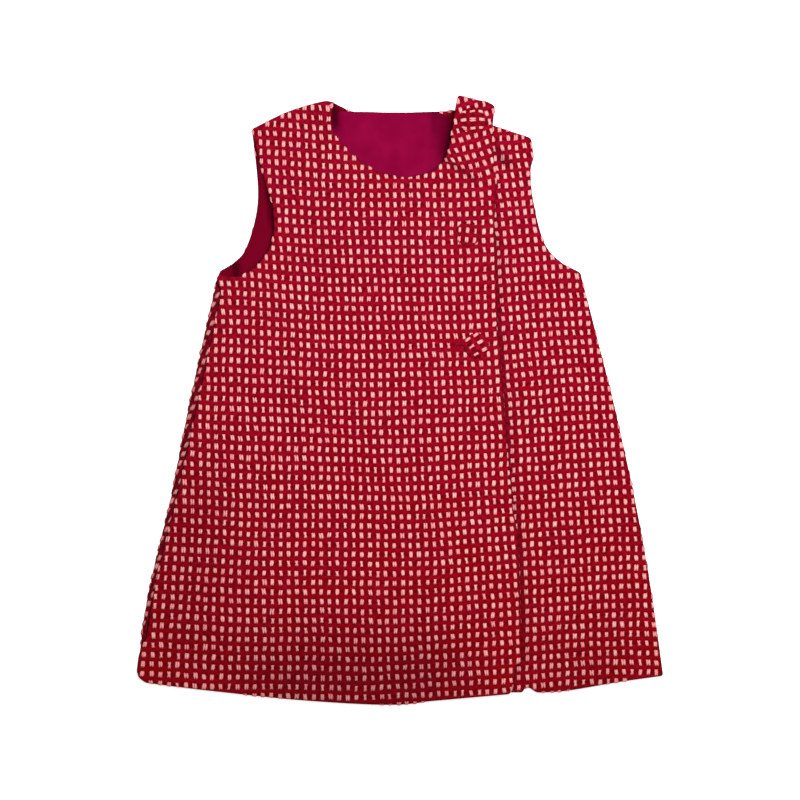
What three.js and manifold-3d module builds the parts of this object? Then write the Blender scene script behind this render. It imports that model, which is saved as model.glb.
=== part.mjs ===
// A toddler's sleeveless A-line pinafore dress, laid flat on its back.
//
// Millimetres, +Z up. The neck points to +Y and the hem to -Y, and +X is the wearer's left. The dress
// rests on z = 0 with its outline centred on the origin. The cloth pieces lie on each other: the back,
// the back lining, the side front with its underlap, and the main front, which laps over the underlap
// and fastens with three cloth-covered buttons.

import * as THREE from 'three';
import { mergeVertices } from 'three/addons/utils/BufferGeometryUtils.js';
import Module from 'manifold-3d';

const wasm = await Module();
wasm.setup();

// ---- Driving dimensions -------------------------------------------------------------------------

const CLOTH = 1.8; // thickness of the checked wool cloth
const LINING = 1.0; // thickness of the lining with its turned edge
const GAP = 0.3; // air between two pieces that touch
const LOFT = 1.2; // how far the fronts stand off the back, away from the seams
const LOFT_REACH = 38; // distance from a seam over which the fronts rise to the full loft
const LINING_HEM_Y = 86; // lower end of the back lining, just below the armholes
const LINING_RISE = 24; // length over which the fronts climb on to the lining

const CHEST_HALF_WIDTH = 145.6; // at the foot of the armholes
const HEM_HALF_WIDTH = 210.4;
const ARMHOLE_FOOT_Y = 100;
const HEM_CORNER_Y = -218;

const UNDERLAP = 42; // how far the side front reaches below the main front
const LAP_RAMP = 26; // width over which the main front climbs on to the underlap
const FOLD_X = -77; // soft upright fold in the main front
const FOLD_TOP_Y = 140;
const FOLD_FOOT_Y = -70;
const FOLD_HALF_WIDTH = 20;
const FOLD_HEIGHT = 1.1;
const FOLD_FADE = 60; // length over which the fold rises at each end

const SHOULDER_PEAK_Y = 240; // where the shoulders' slope starts
const SHOULDER_SLOPE = 0.33;
const NECK_HALF_WIDTH = 50;

const BUTTON_RADIUS = 10;
const BUTTON_DOME = 4.2; // rise of the dome above its rim
const BUTTON_RIM = 1.0; // height of the rim
const SHANK_RADIUS = 1.2;
const BUTTONHOLE_LENGTH = 22;
const BUTTONHOLE_WIDTH = 3.2;

const BUTTONS = [
  { name: 'button_shoulder', x: 57.9, y: 223.4, holeX: 57.6, holeY: 219.2, upright: true },
  { name: 'button_chest', x: 54.4, y: 132.6, holeX: 52.4, holeY: 132.7, upright: false },
  { name: 'button_waist', x: 61.1, y: 43.4, holeX: 54.8, holeY: 43.3, upright: false },
];

const CELL = 13; // spacing of the heights that shape a draped sheet
const SHEET_LENGTH = 500; // length of a draped sheet before it is cut, a little more than the dress's
const CUT_BELOW = -5; // the solids that cut a sheet run from here
const CUT_HEIGHT = 40; // to this far above
const CURVE_STEPS = 3; // straight steps on each stretch of a curved outline
const LATHE_STEPS = 28;
const DOME_STEPS = 5;
const SEAT_STEPS = 16; // points round a button's rim at which the cloth's height is taken

// ---- Landmarks of the cut, each [x, y] ----------------------------------------------------------

const NECK_POINT_RIGHT = [-53.8, 238];
const SHOULDER_CREST_RIGHT = [-62.2, 238.5];
const SHOULDER_MIDDLE_RIGHT = [[-73.8, 235], [-90, 230.2]];
const SHOULDER_TIP_RIGHT = [-118.4, 216.4];
const UNDERARM_RIGHT = [-CHEST_HALF_WIDTH, ARMHOLE_FOOT_Y];
const HEM_CORNER_RIGHT = [-HEM_HALF_WIDTH, -216.4];

const SHOULDER_TIP_LEFT = [104.8, 209.2];
const SHOULDER_AT_TAB = [75.2, 219.2];
const UNDERARM_LEFT = [144, 102];
const HEM_CORNER_LEFT = [HEM_HALF_WIDTH, -220.4];

const RIGHT_SIDE_SEAM = [[-150.4, 79.6], [-168, -0.4], [-184, -80.4], [-199.2, -144.4], [-207.2, -192.4]];
const LEFT_SIDE_SEAM = [[200.8, -152.4], [188, -80.4], [170.4, -0.4], [156, 55.6]];
const LEFT_ARMHOLE = [[126.4, 111.6], [114.4, 127.6], [106.4, 159.6], [104.4, 183.6], [106.6, 193.6]];

const BACK_RIGHT_ARMHOLE = [[-113.6, 170], [-116, 143.6], [-124, 119.6], [-133, 109.6]];
const BACK_NECK = [[32, 230.8], [0, 230], [-36, 230.6], [-45, 233.8]];
const LINING_NECK = [[29, 229.3], [0, 228.7], [-37, 229.6]];
const BACK_HEM = [[-152, -227.6], [-77.6, -235], [-8, -238.6], [98, -228], [176, -220.6]];

const FRONT_RIGHT_ARMHOLE = [
  [-108.2, 175.6], [-101.8, 155], [-101.6, 129.2], [-109.9, 112.8], [-126.7, 99.3],
];
const FRONT_NECK_RIGHT_SIDE = [[-54, 215.6], [-43.2, 201.2], [-20, 183.6]];
const FRONT_NECK_LOW = [4, 177.2];
const FRONT_NECK_LEFT_SIDE = [[24, 181.6], [36.4, 194], [41.6, 214.8], [44, 232.4]];
const TAB_TOP = [[75.8, 234.8], [69, 238.4], [62.4, 239.4], [46.4, 243.6]];
const CLOSING_EDGE = [
  [97.2, -206], [96, -154], [93.6, -106.8], [87.6, -67.6], [80, 38],
  [77.4, 71.6], [75.6, 135.2], [76.4, 176], [73.4, 206],
];
const FRONT_CORNER = [[88, -234.8], [91.2, -221.2], [93.2, -212.6]];
const FRONT_HEM = [[-152, -232.4], [-77.6, -240], [-8, -243.6], [32, -239.8]];

const SIDE_FRONT_HEM = [[132.8, -232.4], [176, -225.2]];
const HEM_NOTCH = [[109.1, -233.8], [100.6, -228], [98.2, -233.6]];
const UNDERLAP_HEM_END = [54, -234];
const UNDERLAP_EDGE_TOP = [33, 160];
const UNDERLAP_EDGE_FOOT_X = 52;
const UNDERLAP_NECK = [[50, 227.6], [46, 203], [39, 188]];

// ---- Outlines -----------------------------------------------------------------------------------

/** Closed outline from a start point and stretches, each either straight ('line') or smooth ('curve'). */
function outline(start, stretches) {
  const shape = new THREE.Shape();
  shape.moveTo(...start);
  for (const [kind, points] of stretches) {
    if (kind === 'curve') {
      shape.splineThru(points.map(([x, y]) => new THREE.Vector2(x, y)));
    } else {
      points.forEach(([x, y]) => shape.lineTo(x, y));
    }
  }
  return shape;
}

/** Points moved sideways by a distance, which takes the underlap's hidden edge from the closing edge. */
const moved = (points, dx) => points.map(([x, y]) => [x + dx, y]);

const backOutline = outline([-204, -219], [
  ['curve', [...BACK_HEM, [206.4, -215.6]]],
  ['curve', [...LEFT_SIDE_SEAM, UNDERARM_LEFT]],
  ['curve', [...LEFT_ARMHOLE, SHOULDER_TIP_LEFT]],
  ['line', [SHOULDER_AT_TAB, [44, 231.6]]],
  ['curve', [...BACK_NECK, NECK_POINT_RIGHT]],
  ['line', [SHOULDER_CREST_RIGHT, ...SHOULDER_MIDDLE_RIGHT, SHOULDER_TIP_RIGHT]],
  ['curve', [...BACK_RIGHT_ARMHOLE, [-144, 103.2]]],
  ['curve', [...RIGHT_SIDE_SEAM, [-204, -219]]],
]);

const liningOutline = outline([-142, LINING_HEM_Y], [
  ['line', [[142, LINING_HEM_Y]]],
  ['curve', [[132, 106], ...moved(LEFT_ARMHOLE.slice(1), -6), [98, 204]]],
  ['line', [[42, 219], [37, 226]]],
  ['curve', LINING_NECK],
  ['line', [[-52, 225.5], [-64, 231], [-87, 226.4], [-115.6, 214]]],
  ['curve', [...moved(BACK_RIGHT_ARMHOLE, 1.1), [-142, 101.8]]],
  ['line', [[-142, LINING_HEM_Y]]],
]);

const sideFrontOutline = outline(UNDERLAP_HEM_END, [
  ['line', [...HEM_NOTCH].reverse()],
  ['curve', [...SIDE_FRONT_HEM, HEM_CORNER_LEFT]],
  ['curve', [...LEFT_SIDE_SEAM, UNDERARM_LEFT]],
  ['curve', [...LEFT_ARMHOLE, SHOULDER_TIP_LEFT]],
  ['line', [SHOULDER_AT_TAB, UNDERLAP_NECK[0]]],
  ['curve', [...UNDERLAP_NECK.slice(1), [75.6 - UNDERLAP, 160]]],
  ['curve', [...moved(CLOSING_EDGE.slice(1, 7), -UNDERLAP)].reverse()],
  ['line', [UNDERLAP_HEM_END]],
]);

const frontOutline = outline([-203.2, -226], [
  ['curve', [...FRONT_HEM, FRONT_CORNER[0]]],
  ['curve', [...FRONT_CORNER.slice(1), CLOSING_EDGE[0]]],
  ['curve', [...CLOSING_EDGE.slice(1), TAB_TOP[0]]],
  ['line', TAB_TOP.slice(1)],
  ['curve', [...FRONT_NECK_LEFT_SIDE].reverse().concat([FRONT_NECK_LOW])],
  ['curve', [...FRONT_NECK_RIGHT_SIDE].reverse().concat([NECK_POINT_RIGHT])],
  ['line', [SHOULDER_CREST_RIGHT, ...SHOULDER_MIDDLE_RIGHT, SHOULDER_TIP_RIGHT]],
  ['curve', [...FRONT_RIGHT_ARMHOLE, UNDERARM_RIGHT]],
  ['curve', [...RIGHT_SIDE_SEAM, HEM_CORNER_RIGHT]],
  ['curve', [[-208.6, -222], [-203.2, -226]]],
]);

// ---- Heights ------------------------------------------------------------------------------------

/** 0 below low, 1 above high, and a smooth rise between them. */
const rise = (value, low, high) => THREE.MathUtils.smoothstep(value, low, high);

/** Half the width of the dress at a height on the cut, from the chest down to the hem. */
function halfWidth(y) {
  const down = THREE.MathUtils.clamp((ARMHOLE_FOOT_Y - y) / (ARMHOLE_FOOT_Y - HEM_CORNER_Y), 0, 1);
  return THREE.MathUtils.lerp(CHEST_HALF_WIDTH, HEM_HALF_WIDTH, down);
}

/** Height of the shoulder seam's line at x, which slopes down from the neck on both sides. */
const shoulderLine = (x) => SHOULDER_PEAK_Y - SHOULDER_SLOPE * Math.max(0, Math.abs(x) - NECK_HALF_WIDTH);

/** Underside of cloth that lies directly on the back or on its lining, lofted away from the seams. */
function frontFloor(x, y) {
  const onLining = (LINING + GAP) * rise(y, LINING_HEM_Y - LINING_RISE - CELL, LINING_HEM_Y - CELL);
  const fromSide = rise(halfWidth(y) - Math.abs(x), 0, LOFT_REACH);
  const fromShoulder = rise(shoulderLine(x) - y, 0, LOFT_REACH);
  return CLOTH + GAP + onLining + LOFT * fromSide * fromShoulder;
}

/** x of the underlap's hidden edge at y, below the main front. */
function underlapEdge(y) {
  const [topX, topY] = UNDERLAP_EDGE_TOP;
  const down = THREE.MathUtils.clamp((topY - y) / (topY - HEM_CORNER_Y), 0, 1);
  return THREE.MathUtils.lerp(topX, UNDERLAP_EDGE_FOOT_X, down);
}

/** Underside of the main front: the floor, the climb on to the underlap, and one soft upright fold. */
function mainFrontFloor(x, y) {
  const start = underlapEdge(y) - CELL;
  const onUnderlap = (CLOTH + GAP) * rise(x, start - LAP_RAMP, start);
  const across = Math.max(0, 1 - Math.abs(x - FOLD_X) / FOLD_HALF_WIDTH);
  const fromFoot = rise(y, FOLD_FOOT_Y, FOLD_FOOT_Y + FOLD_FADE);
  const fromTop = rise(-y, -FOLD_TOP_Y, -FOLD_TOP_Y + FOLD_FADE);
  return frontFloor(x, y) + onUnderlap + FOLD_HEIGHT * across * across * fromFoot * fromTop;
}

// ---- Solids -------------------------------------------------------------------------------------

/** A three.js geometry as a manifold solid, with its shared vertices merged. */
function toSolid(geometry) {
  const bare = new THREE.BufferGeometry();
  bare.setAttribute('position', geometry.getAttribute('position').clone());
  if (geometry.index) {
    bare.setIndex(geometry.index.clone());
  }
  const merged = mergeVertices(bare, 1e-5);
  return new wasm.Manifold(new wasm.Mesh({
    numProp: 3,
    vertProperties: new Float32Array(merged.getAttribute('position').array),
    triVerts: new Uint32Array(merged.index.array),
  }));
}

/** A manifold solid as a three.js geometry. */
function toGeometry(solid) {
  const mesh = solid.getMesh();
  const geometry = new THREE.BufferGeometry();
  geometry.setAttribute('position', new THREE.BufferAttribute(new Float32Array(mesh.vertProperties), 3));
  geometry.setIndex(new THREE.BufferAttribute(new Uint32Array(mesh.triVerts), 1));
  geometry.computeVertexNormals();
  return geometry;
}

/** A flat piece of cloth: the outline raised from one height by a thickness. */
function flatPiece(shape, bottom, thickness) {
  const geometry = new THREE.ExtrudeGeometry(shape, {
    depth: thickness, bevelEnabled: false, curveSegments: CURVE_STEPS,
  });
  return geometry.translate(0, 0, bottom);
}

/** A sheet over the whole dress, one cloth thick, whose underside follows a height function. */
function drapedSheet(floor) {
  const columns = Math.ceil((2 * HEM_HALF_WIDTH + 2 * CELL) / CELL);
  const rows = Math.ceil((SHEET_LENGTH + 2 * CELL) / CELL);
  const plane = new THREE.PlaneGeometry(columns * CELL, rows * CELL, columns, rows);
  const flat = plane.getAttribute('position');
  const count = flat.count;
  const positions = new Float32Array(count * 6);
  for (let i = 0; i < count; i += 1) {
    const x = flat.getX(i);
    const y = flat.getY(i);
    const z = floor(x, y);
    positions.set([x, y, z + CLOTH], i * 3);
    positions.set([x, y, z], (count + i) * 3);
  }
  const top = Array.from(plane.index.array);
  const faces = [...top];
  for (let i = 0; i < top.length; i += 3) {
    faces.push(top[i] + count, top[i + 2] + count, top[i + 1] + count);
  }
  for (const [a, b] of sheetRim(columns, rows)) {
    faces.push(a, a + count, b + count, a, b + count, b);
  }
  const sheet = new THREE.BufferGeometry();
  sheet.setAttribute('position', new THREE.BufferAttribute(positions, 3));
  sheet.setIndex(faces);
  return sheet;
}

/** Pairs of neighbouring vertices round a plane's border, in the order that faces the walls outward. */
function sheetRim(columns, rows) {
  const at = (column, row) => row * (columns + 1) + column;
  const pairs = [];
  for (let c = 0; c < columns; c += 1) {
    pairs.push([at(c + 1, 0), at(c, 0)]);
    pairs.push([at(c, rows), at(c + 1, rows)]);
  }
  for (let r = 0; r < rows; r += 1) {
    pairs.push([at(0, r), at(0, r + 1)]);
    pairs.push([at(columns, r + 1), at(columns, r)]);
  }
  return pairs;
}

/** The part of a draped sheet inside an outline. */
function drapedPiece(shape, floor) {
  const prism = toSolid(flatPiece(shape, CUT_BELOW, CUT_HEIGHT));
  return toSolid(drapedSheet(floor)).intersect(prism);
}

/** An upright round-ended slot through the front, where a button's shank passes. */
function buttonholeCutter({ holeX, holeY, upright }) {
  const half = (BUTTONHOLE_LENGTH - BUTTONHOLE_WIDTH) / 2;
  const radius = BUTTONHOLE_WIDTH / 2;
  const slot = new THREE.Shape();
  slot.absarc(half, 0, radius, -Math.PI / 2, Math.PI / 2);
  slot.absarc(-half, 0, radius, Math.PI / 2, 1.5 * Math.PI);
  const cutter = flatPiece(slot, CUT_BELOW, CUT_HEIGHT);
  cutter.rotateZ(upright ? Math.PI / 2 : 0);
  return toSolid(cutter.translate(holeX, holeY, 0));
}

/** Highest point of the main front's top face below a button. */
function seatHeight({ x, y }) {
  let top = 0;
  for (let step = 0; step < SEAT_STEPS; step += 1) {
    const angle = (step / SEAT_STEPS) * 2 * Math.PI;
    const edgeX = x + BUTTON_RADIUS * Math.cos(angle);
    const edgeY = y + BUTTON_RADIUS * Math.sin(angle);
    top = Math.max(top, mainFrontFloor(edgeX, edgeY), mainFrontFloor(x, y));
  }
  return top + CLOTH;
}

/** A covered button turned about its own axis: a rim, a low dome, and a shank down to the underlap. */
function buttonGeometry(button) {
  const seat = seatHeight(button) + GAP;
  const shankFoot = frontFloor(button.x, button.y) + CLOTH + 2 * GAP;
  const profile = [
    new THREE.Vector2(0, shankFoot),
    new THREE.Vector2(SHANK_RADIUS, shankFoot),
    new THREE.Vector2(SHANK_RADIUS, seat),
    new THREE.Vector2(BUTTON_RADIUS - 1, seat),
    new THREE.Vector2(BUTTON_RADIUS, seat + BUTTON_RIM / 2),
  ];
  for (let step = 0; step < DOME_STEPS; step += 1) {
    const angle = (step / DOME_STEPS) * (Math.PI / 2);
    const height = seat + BUTTON_RIM + BUTTON_DOME * Math.sin(angle);
    profile.push(new THREE.Vector2(BUTTON_RADIUS * Math.cos(angle), height));
  }
  profile.push(new THREE.Vector2(0, seat + BUTTON_RIM + BUTTON_DOME));
  return new THREE.LatheGeometry(profile, LATHE_STEPS).rotateX(Math.PI / 2);
}

// ---- Materials and assembly ---------------------------------------------------------------------

const material = (color, roughness) => new THREE.MeshStandardMaterial({ color, roughness, metalness: 0 });

const dress = new THREE.Group();

/** Adds a named piece of the dress. */
function addPiece(name, geometry, color, roughness) {
  const mesh = new THREE.Mesh(geometry, material(color, roughness));
  mesh.name = name;
  dress.add(mesh);
  return mesh;
}

const mainFront = BUTTONS.reduce(
  (solid, button) => solid.subtract(buttonholeCutter(button)),
  drapedPiece(frontOutline, mainFrontFloor),
);

addPiece('back_panel', flatPiece(backOutline, 0, CLOTH), 0x8a0d1c, 0.95);
addPiece('back_lining', flatPiece(liningOutline, CLOTH + GAP, LINING), 0x93073a, 0.6);
addPiece('side_front_panel', toGeometry(drapedPiece(sideFrontOutline, frontFloor)), 0x960f25, 0.95);
addPiece('front_panel', toGeometry(mainFront), 0x9d102a, 0.95);

for (const button of BUTTONS) {
  addPiece(button.name, buttonGeometry(button), 0x8a0d1c, 0.95).position.set(button.x, button.y, 0);
}

export default dress;
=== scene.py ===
"""A toddler's A-line pinafore dress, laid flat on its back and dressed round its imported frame.

Plans are drawn in millimetres in the frame's own axes: +X is the wearer's left, +Y runs to the neck and
+Z up through the layers. Each cloth panel is a thin closed shell over the outline of its solid, and the
pale pips of the weave are raised floats that lie on the same surface as the shell.
"""

import logging
import math
from collections.abc import Callable
from dataclasses import dataclass, field
from enum import Enum

import bpy
import numpy as np
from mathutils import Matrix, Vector
from mathutils.geometry import delaunay_2d_cdt


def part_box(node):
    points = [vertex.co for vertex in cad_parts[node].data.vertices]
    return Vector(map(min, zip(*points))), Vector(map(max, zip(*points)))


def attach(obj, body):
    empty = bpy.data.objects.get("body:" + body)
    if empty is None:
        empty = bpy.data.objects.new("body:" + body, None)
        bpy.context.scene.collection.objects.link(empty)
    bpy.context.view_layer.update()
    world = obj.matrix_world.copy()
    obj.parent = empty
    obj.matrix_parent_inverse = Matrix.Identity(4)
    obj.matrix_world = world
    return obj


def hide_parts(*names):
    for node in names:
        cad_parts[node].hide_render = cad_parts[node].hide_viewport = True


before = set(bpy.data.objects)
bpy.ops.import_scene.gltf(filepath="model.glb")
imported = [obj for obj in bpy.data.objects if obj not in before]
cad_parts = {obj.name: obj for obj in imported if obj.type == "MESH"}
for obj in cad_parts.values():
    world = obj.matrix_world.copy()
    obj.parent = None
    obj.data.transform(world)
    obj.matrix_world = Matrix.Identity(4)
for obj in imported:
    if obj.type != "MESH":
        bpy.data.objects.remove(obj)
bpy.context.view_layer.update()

Array = np.ndarray
Pair = tuple[float, float]
Triple = tuple[float, float, float]
Piece = bpy.types.Object
Socket = bpy.types.NodeSocket

LOG = logging.getLogger("pinafore")
MM = 0.001


# ---- Numbers on arrays ---------------------------------------------------------------------------


def rise(value: Array, low: float, high: float) -> Array:
    """Smooth step: 0 below low, 1 above high, and 3t^2 - 2t^3 between them."""
    t = np.clip((value - low) / (high - low), 0.0, 1.0)
    return t * t * (3.0 - 2.0 * t)


def through(points: Array, spacing: float) -> Array:
    """Points of an even curve through the given ones.

    Each stretch is the cubic whose slope at a point is half the step between that point's neighbours.

    Args:
        points: (n, 2) points to pass through.
        spacing: distance between the points that come back.

    Returns:
        (m, 2) points from the first given point up to, and without, the last.
    """
    ends = np.vstack([2 * points[0] - points[1], points, 2 * points[-1] - points[-2]])
    lengths = np.linalg.norm(np.diff(points, axis=0), axis=1)
    counts = np.maximum(1, np.round(lengths / spacing).astype(int))
    index = np.repeat(np.arange(len(counts)), counts)
    first = np.repeat(np.cumsum(counts) - counts, counts)
    f = ((np.arange(counts.sum()) - first) / counts[index])[:, None]
    a, b, c, d = (ends[index + k] for k in range(4))
    square, cube = 2 * a - 5 * b + 4 * c - d, 3 * b - a - 3 * c + d
    return 0.5 * (2 * b + (c - a) * f + square * f**2 + cube * f**3)


@dataclass(frozen=True)
class Crease:
    """A soft ridge, or a trough where its height is below 0, along a straight line in plan.

    Its shade value, 0 to 1, is painted shade: how far the colour of the cloth along the line is darkened
    where light is kept out of it. A crease of height 0 is only a band of painted shade.
    """

    start: Pair
    end: Pair
    width: float
    height: float
    hollow: float = 0.0
    fade: Pair = (-0.1, 0.3)

    def bell(self, x: Array, y: Array) -> Array:
        """1 on the line: a bell across it, faded out over its last third at each end.

        Args:
            x: plan positions.
            y: plan positions.

        Returns:
            Share of the crease's height at each position.
        """
        ax, ay = self.start
        dx, dy = self.end[0] - ax, self.end[1] - ay
        length = math.hypot(dx, dy)
        along = ((x - ax) * dx + (y - ay) * dy) / length**2
        across = ((x - ax) * dy - (y - ay) * dx) / length
        ends = rise(along, *self.fade) * rise(1 - along, *self.fade)
        return np.exp(-((across / self.width) ** 2)) * ends


@dataclass(frozen=True)
class Mound:
    """A soft rise in plan: height * exp(-(dx / a)^2 - (dy / b)^2) round its middle, with reach (a, b)."""

    middle: Pair
    reach: Pair
    height: float

    def at(self, x: Array, y: Array) -> Array:
        """Height at (x, y)."""
        across = (x - self.middle[0]) / self.reach[0]
        along = (y - self.middle[1]) / self.reach[1]
        return self.height * np.exp(-(across**2) - along**2)


def relief(creases: tuple[Crease, ...], x: Array, y: Array) -> Array:
    """Sum of all the creases' heights at (x, y)."""
    total = np.zeros(np.broadcast(x, y).shape)
    for crease in creases:
        total = total + crease.height * crease.bell(x, y)
    return total


def painted_shade_at(creases: tuple[Crease, ...], x: Array, y: Array) -> Array:
    """Painted shade at (x, y), 0 to 1, where light is kept out: what one crease lets through, the next
    one dims.
    """
    light = np.ones(np.broadcast(x, y).shape)
    for crease in creases:
        light = light * (1 - crease.hollow * crease.bell(x, y))
    return 1 - light


def bands(rings: int, around: int) -> Array:
    """Quads between rings of vertices that are numbered one ring after the other.

    Args:
        rings: number of rings.
        around: number of vertices in a ring.

    Returns:
        (m, 4) vertex numbers, counted from the first ring's first vertex.
    """
    ring = np.arange(around)
    after = np.roll(ring, -1)
    one = np.stack([ring, around + ring, around + after, after], axis=1)
    return (np.arange(rings - 1)[:, None, None] * around + one[None]).reshape(-1, 4)


# ---- Outlines, read from the frame's solids ------------------------------------------------------


def plan_loops(node: str, upward: float = 0.5) -> list[Array]:
    """Edges of a CAD node's upper face in plan, longest first.

    Args:
        node: name of the CAD node.
        upward: least share of a triangle's normal that points up, for one of the upper face.

    Returns:
        Closed loops of (n, 2) corner points in millimetres. The outer one runs anticlockwise.
    """
    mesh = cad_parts[node].data
    mesh.calc_loop_triangles()
    corners = np.empty(len(mesh.vertices) * 3, np.float32)
    mesh.vertices.foreach_get("co", corners)
    faces = np.empty(len(mesh.loop_triangles) * 3, np.int32)
    mesh.loop_triangles.foreach_get("vertices", faces)
    places, merged = np.unique(np.round(corners.reshape(-1, 3) / MM, 2), axis=0, return_inverse=True)
    faces = merged.ravel()[faces].reshape(-1, 3)
    a, b, c = (places[faces[:, k]] for k in range(3))
    normal = np.cross(b - a, c - a)
    faces = faces[normal[:, 2] > upward * np.linalg.norm(normal, axis=1)]
    edges = {tuple(e) for pair in ((0, 1), (1, 2), (2, 0)) for e in faces[:, pair].tolist()}
    following = {a: b for a, b in edges if (b, a) not in edges}
    loops = []
    while following:
        here = next(iter(following))
        loop = []
        while here in following:
            loop.append(here)
            here = following.pop(here)
        loops.append(places[loop][:, :2])
    return sorted(loops, key=lambda p: -np.abs(np.diff(p, axis=0)).sum())


def turning(points: Array) -> Array:
    """Angle in degrees by which a closed loop turns at each of its points."""
    before = points - np.roll(points, 1, axis=0)
    after = np.roll(points, -1, axis=0) - points
    cross = before[:, 0] * after[:, 1] - before[:, 1] * after[:, 0]
    return np.degrees(np.abs(np.arctan2(cross, (before * after).sum(axis=1))))


@dataclass
class Outline:
    """Closed anticlockwise outline of a panel in plan, in millimetres, at an even spacing."""

    points: Array
    spacing: float = 1.8
    corner_angle: float = 30.0
    straight_angle: float = 0.6

    @classmethod
    def of_node(cls, node: str) -> "Outline":
        """Outline of a CAD node: smooth between its corners, and slightly rounded at them."""
        rough = plan_loops(node)[0]
        rough = rough[turning(rough) > cls.straight_angle]
        corners = np.flatnonzero(turning(rough) > cls.corner_angle)
        rough = np.roll(rough, -corners[0], axis=0)
        corners = np.append(corners - corners[0], len(rough))
        closed = np.vstack([rough, rough[:1]])
        stretches = [through(closed[a : b + 1], cls.spacing) for a, b in zip(corners[:-1], corners[1:])]
        return cls(np.vstack(stretches)).softened()

    def softened(self) -> "Outline":
        """The outline with each point moved a little to the middle of its neighbours."""
        p = self.points
        return Outline(0.25 * (np.roll(p, 1, axis=0) + np.roll(p, -1, axis=0)) + 0.5 * p)

    def drawn_in(self, radius: float, shortest: float = 0.1, rounds: int = 200) -> Array:
        """The outline moved inward, with any stretch that would run backwards pulled straight.

        Args:
            radius: how far inward.
            shortest: least length of a step that was moved, as a share of what it was.
            rounds: most times that the short steps are evened out.

        Returns:
            (n, 2) points, one for each of the outline's.
        """
        ring = self.points - self.normals() * radius
        step = np.roll(self.points, -1, axis=0) - self.points
        for _ in range(rounds):
            moved = np.roll(ring, -1, axis=0) - ring
            folded = (moved * step).sum(axis=1) < shortest * (step**2).sum(axis=1)
            if not folded.any():
                break
            touched = folded | np.roll(folded, 1)
            middle = 0.5 * (np.roll(ring, 1, axis=0) + np.roll(ring, -1, axis=0))
            ring = np.where(touched[:, None], middle, ring)
        return ring

    def shifted(self, dx: Array) -> "Outline":
        """The outline with each point moved sideways by its own distance."""
        return Outline(self.points + np.stack([dx, np.zeros_like(dx)], axis=1))

    def normals(self, most_lean: float = 0.7) -> Array:
        """Outward direction at each point, lengthened at corners so that an offset keeps its distance.

        Args:
            most_lean: least cosine of half a corner's turn, which limits the lengthening.

        Returns:
            (n, 2) directions.
        """
        ahead = np.roll(self.points, -1, axis=0) - self.points
        unit = ahead / np.linalg.norm(ahead, axis=1, keepdims=True)
        side = np.stack([unit[:, 1], -unit[:, 0]], axis=1)
        both = side + np.roll(side, 1, axis=0)
        both /= np.linalg.norm(both, axis=1, keepdims=True)
        return both / np.clip((both * side).sum(axis=1, keepdims=True), most_lean, 1.0)

    def nearest(
        self, x: Array, y: Array, at_once: int = 3000
    ) -> tuple[Array, Array, Array]:
        """Distance to the outline.

        Args:
            x: plan positions.
            y: plan positions.
            at_once: how many positions are worked out together.

        Returns:
            Distance inside the outline (below 0 outside it), the nearest point of the outline, and the
            outward direction there.
        """
        start = self.points
        step = np.roll(start, -1, axis=0) - start
        square = (step**2).sum(axis=1)
        q = np.stack([x, y], axis=1)
        foot = np.empty_like(q)
        inside = np.zeros(len(q), bool)
        for chunk in np.array_split(np.arange(len(q)), max(1, len(q) // at_once)):
            away = q[chunk, None, :] - start[None]
            t = np.clip((away * step).sum(axis=2) / square, 0, 1)
            gap = ((away - t[..., None] * step) ** 2).sum(axis=2)
            best = gap.argmin(axis=1)
            foot[chunk] = start[best] + t[np.arange(len(chunk)), best, None] * step[best]
            above = (start[:, 1] > q[chunk, 1:2]) != (start[:, 1] + step[:, 1] > q[chunk, 1:2])
            with np.errstate(divide="ignore", invalid="ignore"):
                cut = start[:, 0] + (q[chunk, 1:2] - start[:, 1]) * step[:, 0] / step[:, 1]
            inside[chunk] = (above & (q[chunk, :1] < cut)).sum(axis=1) % 2 == 1
        out = np.where(inside[:, None], foot - q, q - foot)
        distance = np.linalg.norm(out, axis=1)
        out /= np.maximum(distance, 1e-9)[:, None]
        return np.where(inside, distance, -distance), foot, out


# ---- The weave's grid on a panel -----------------------------------------------------------------


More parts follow.
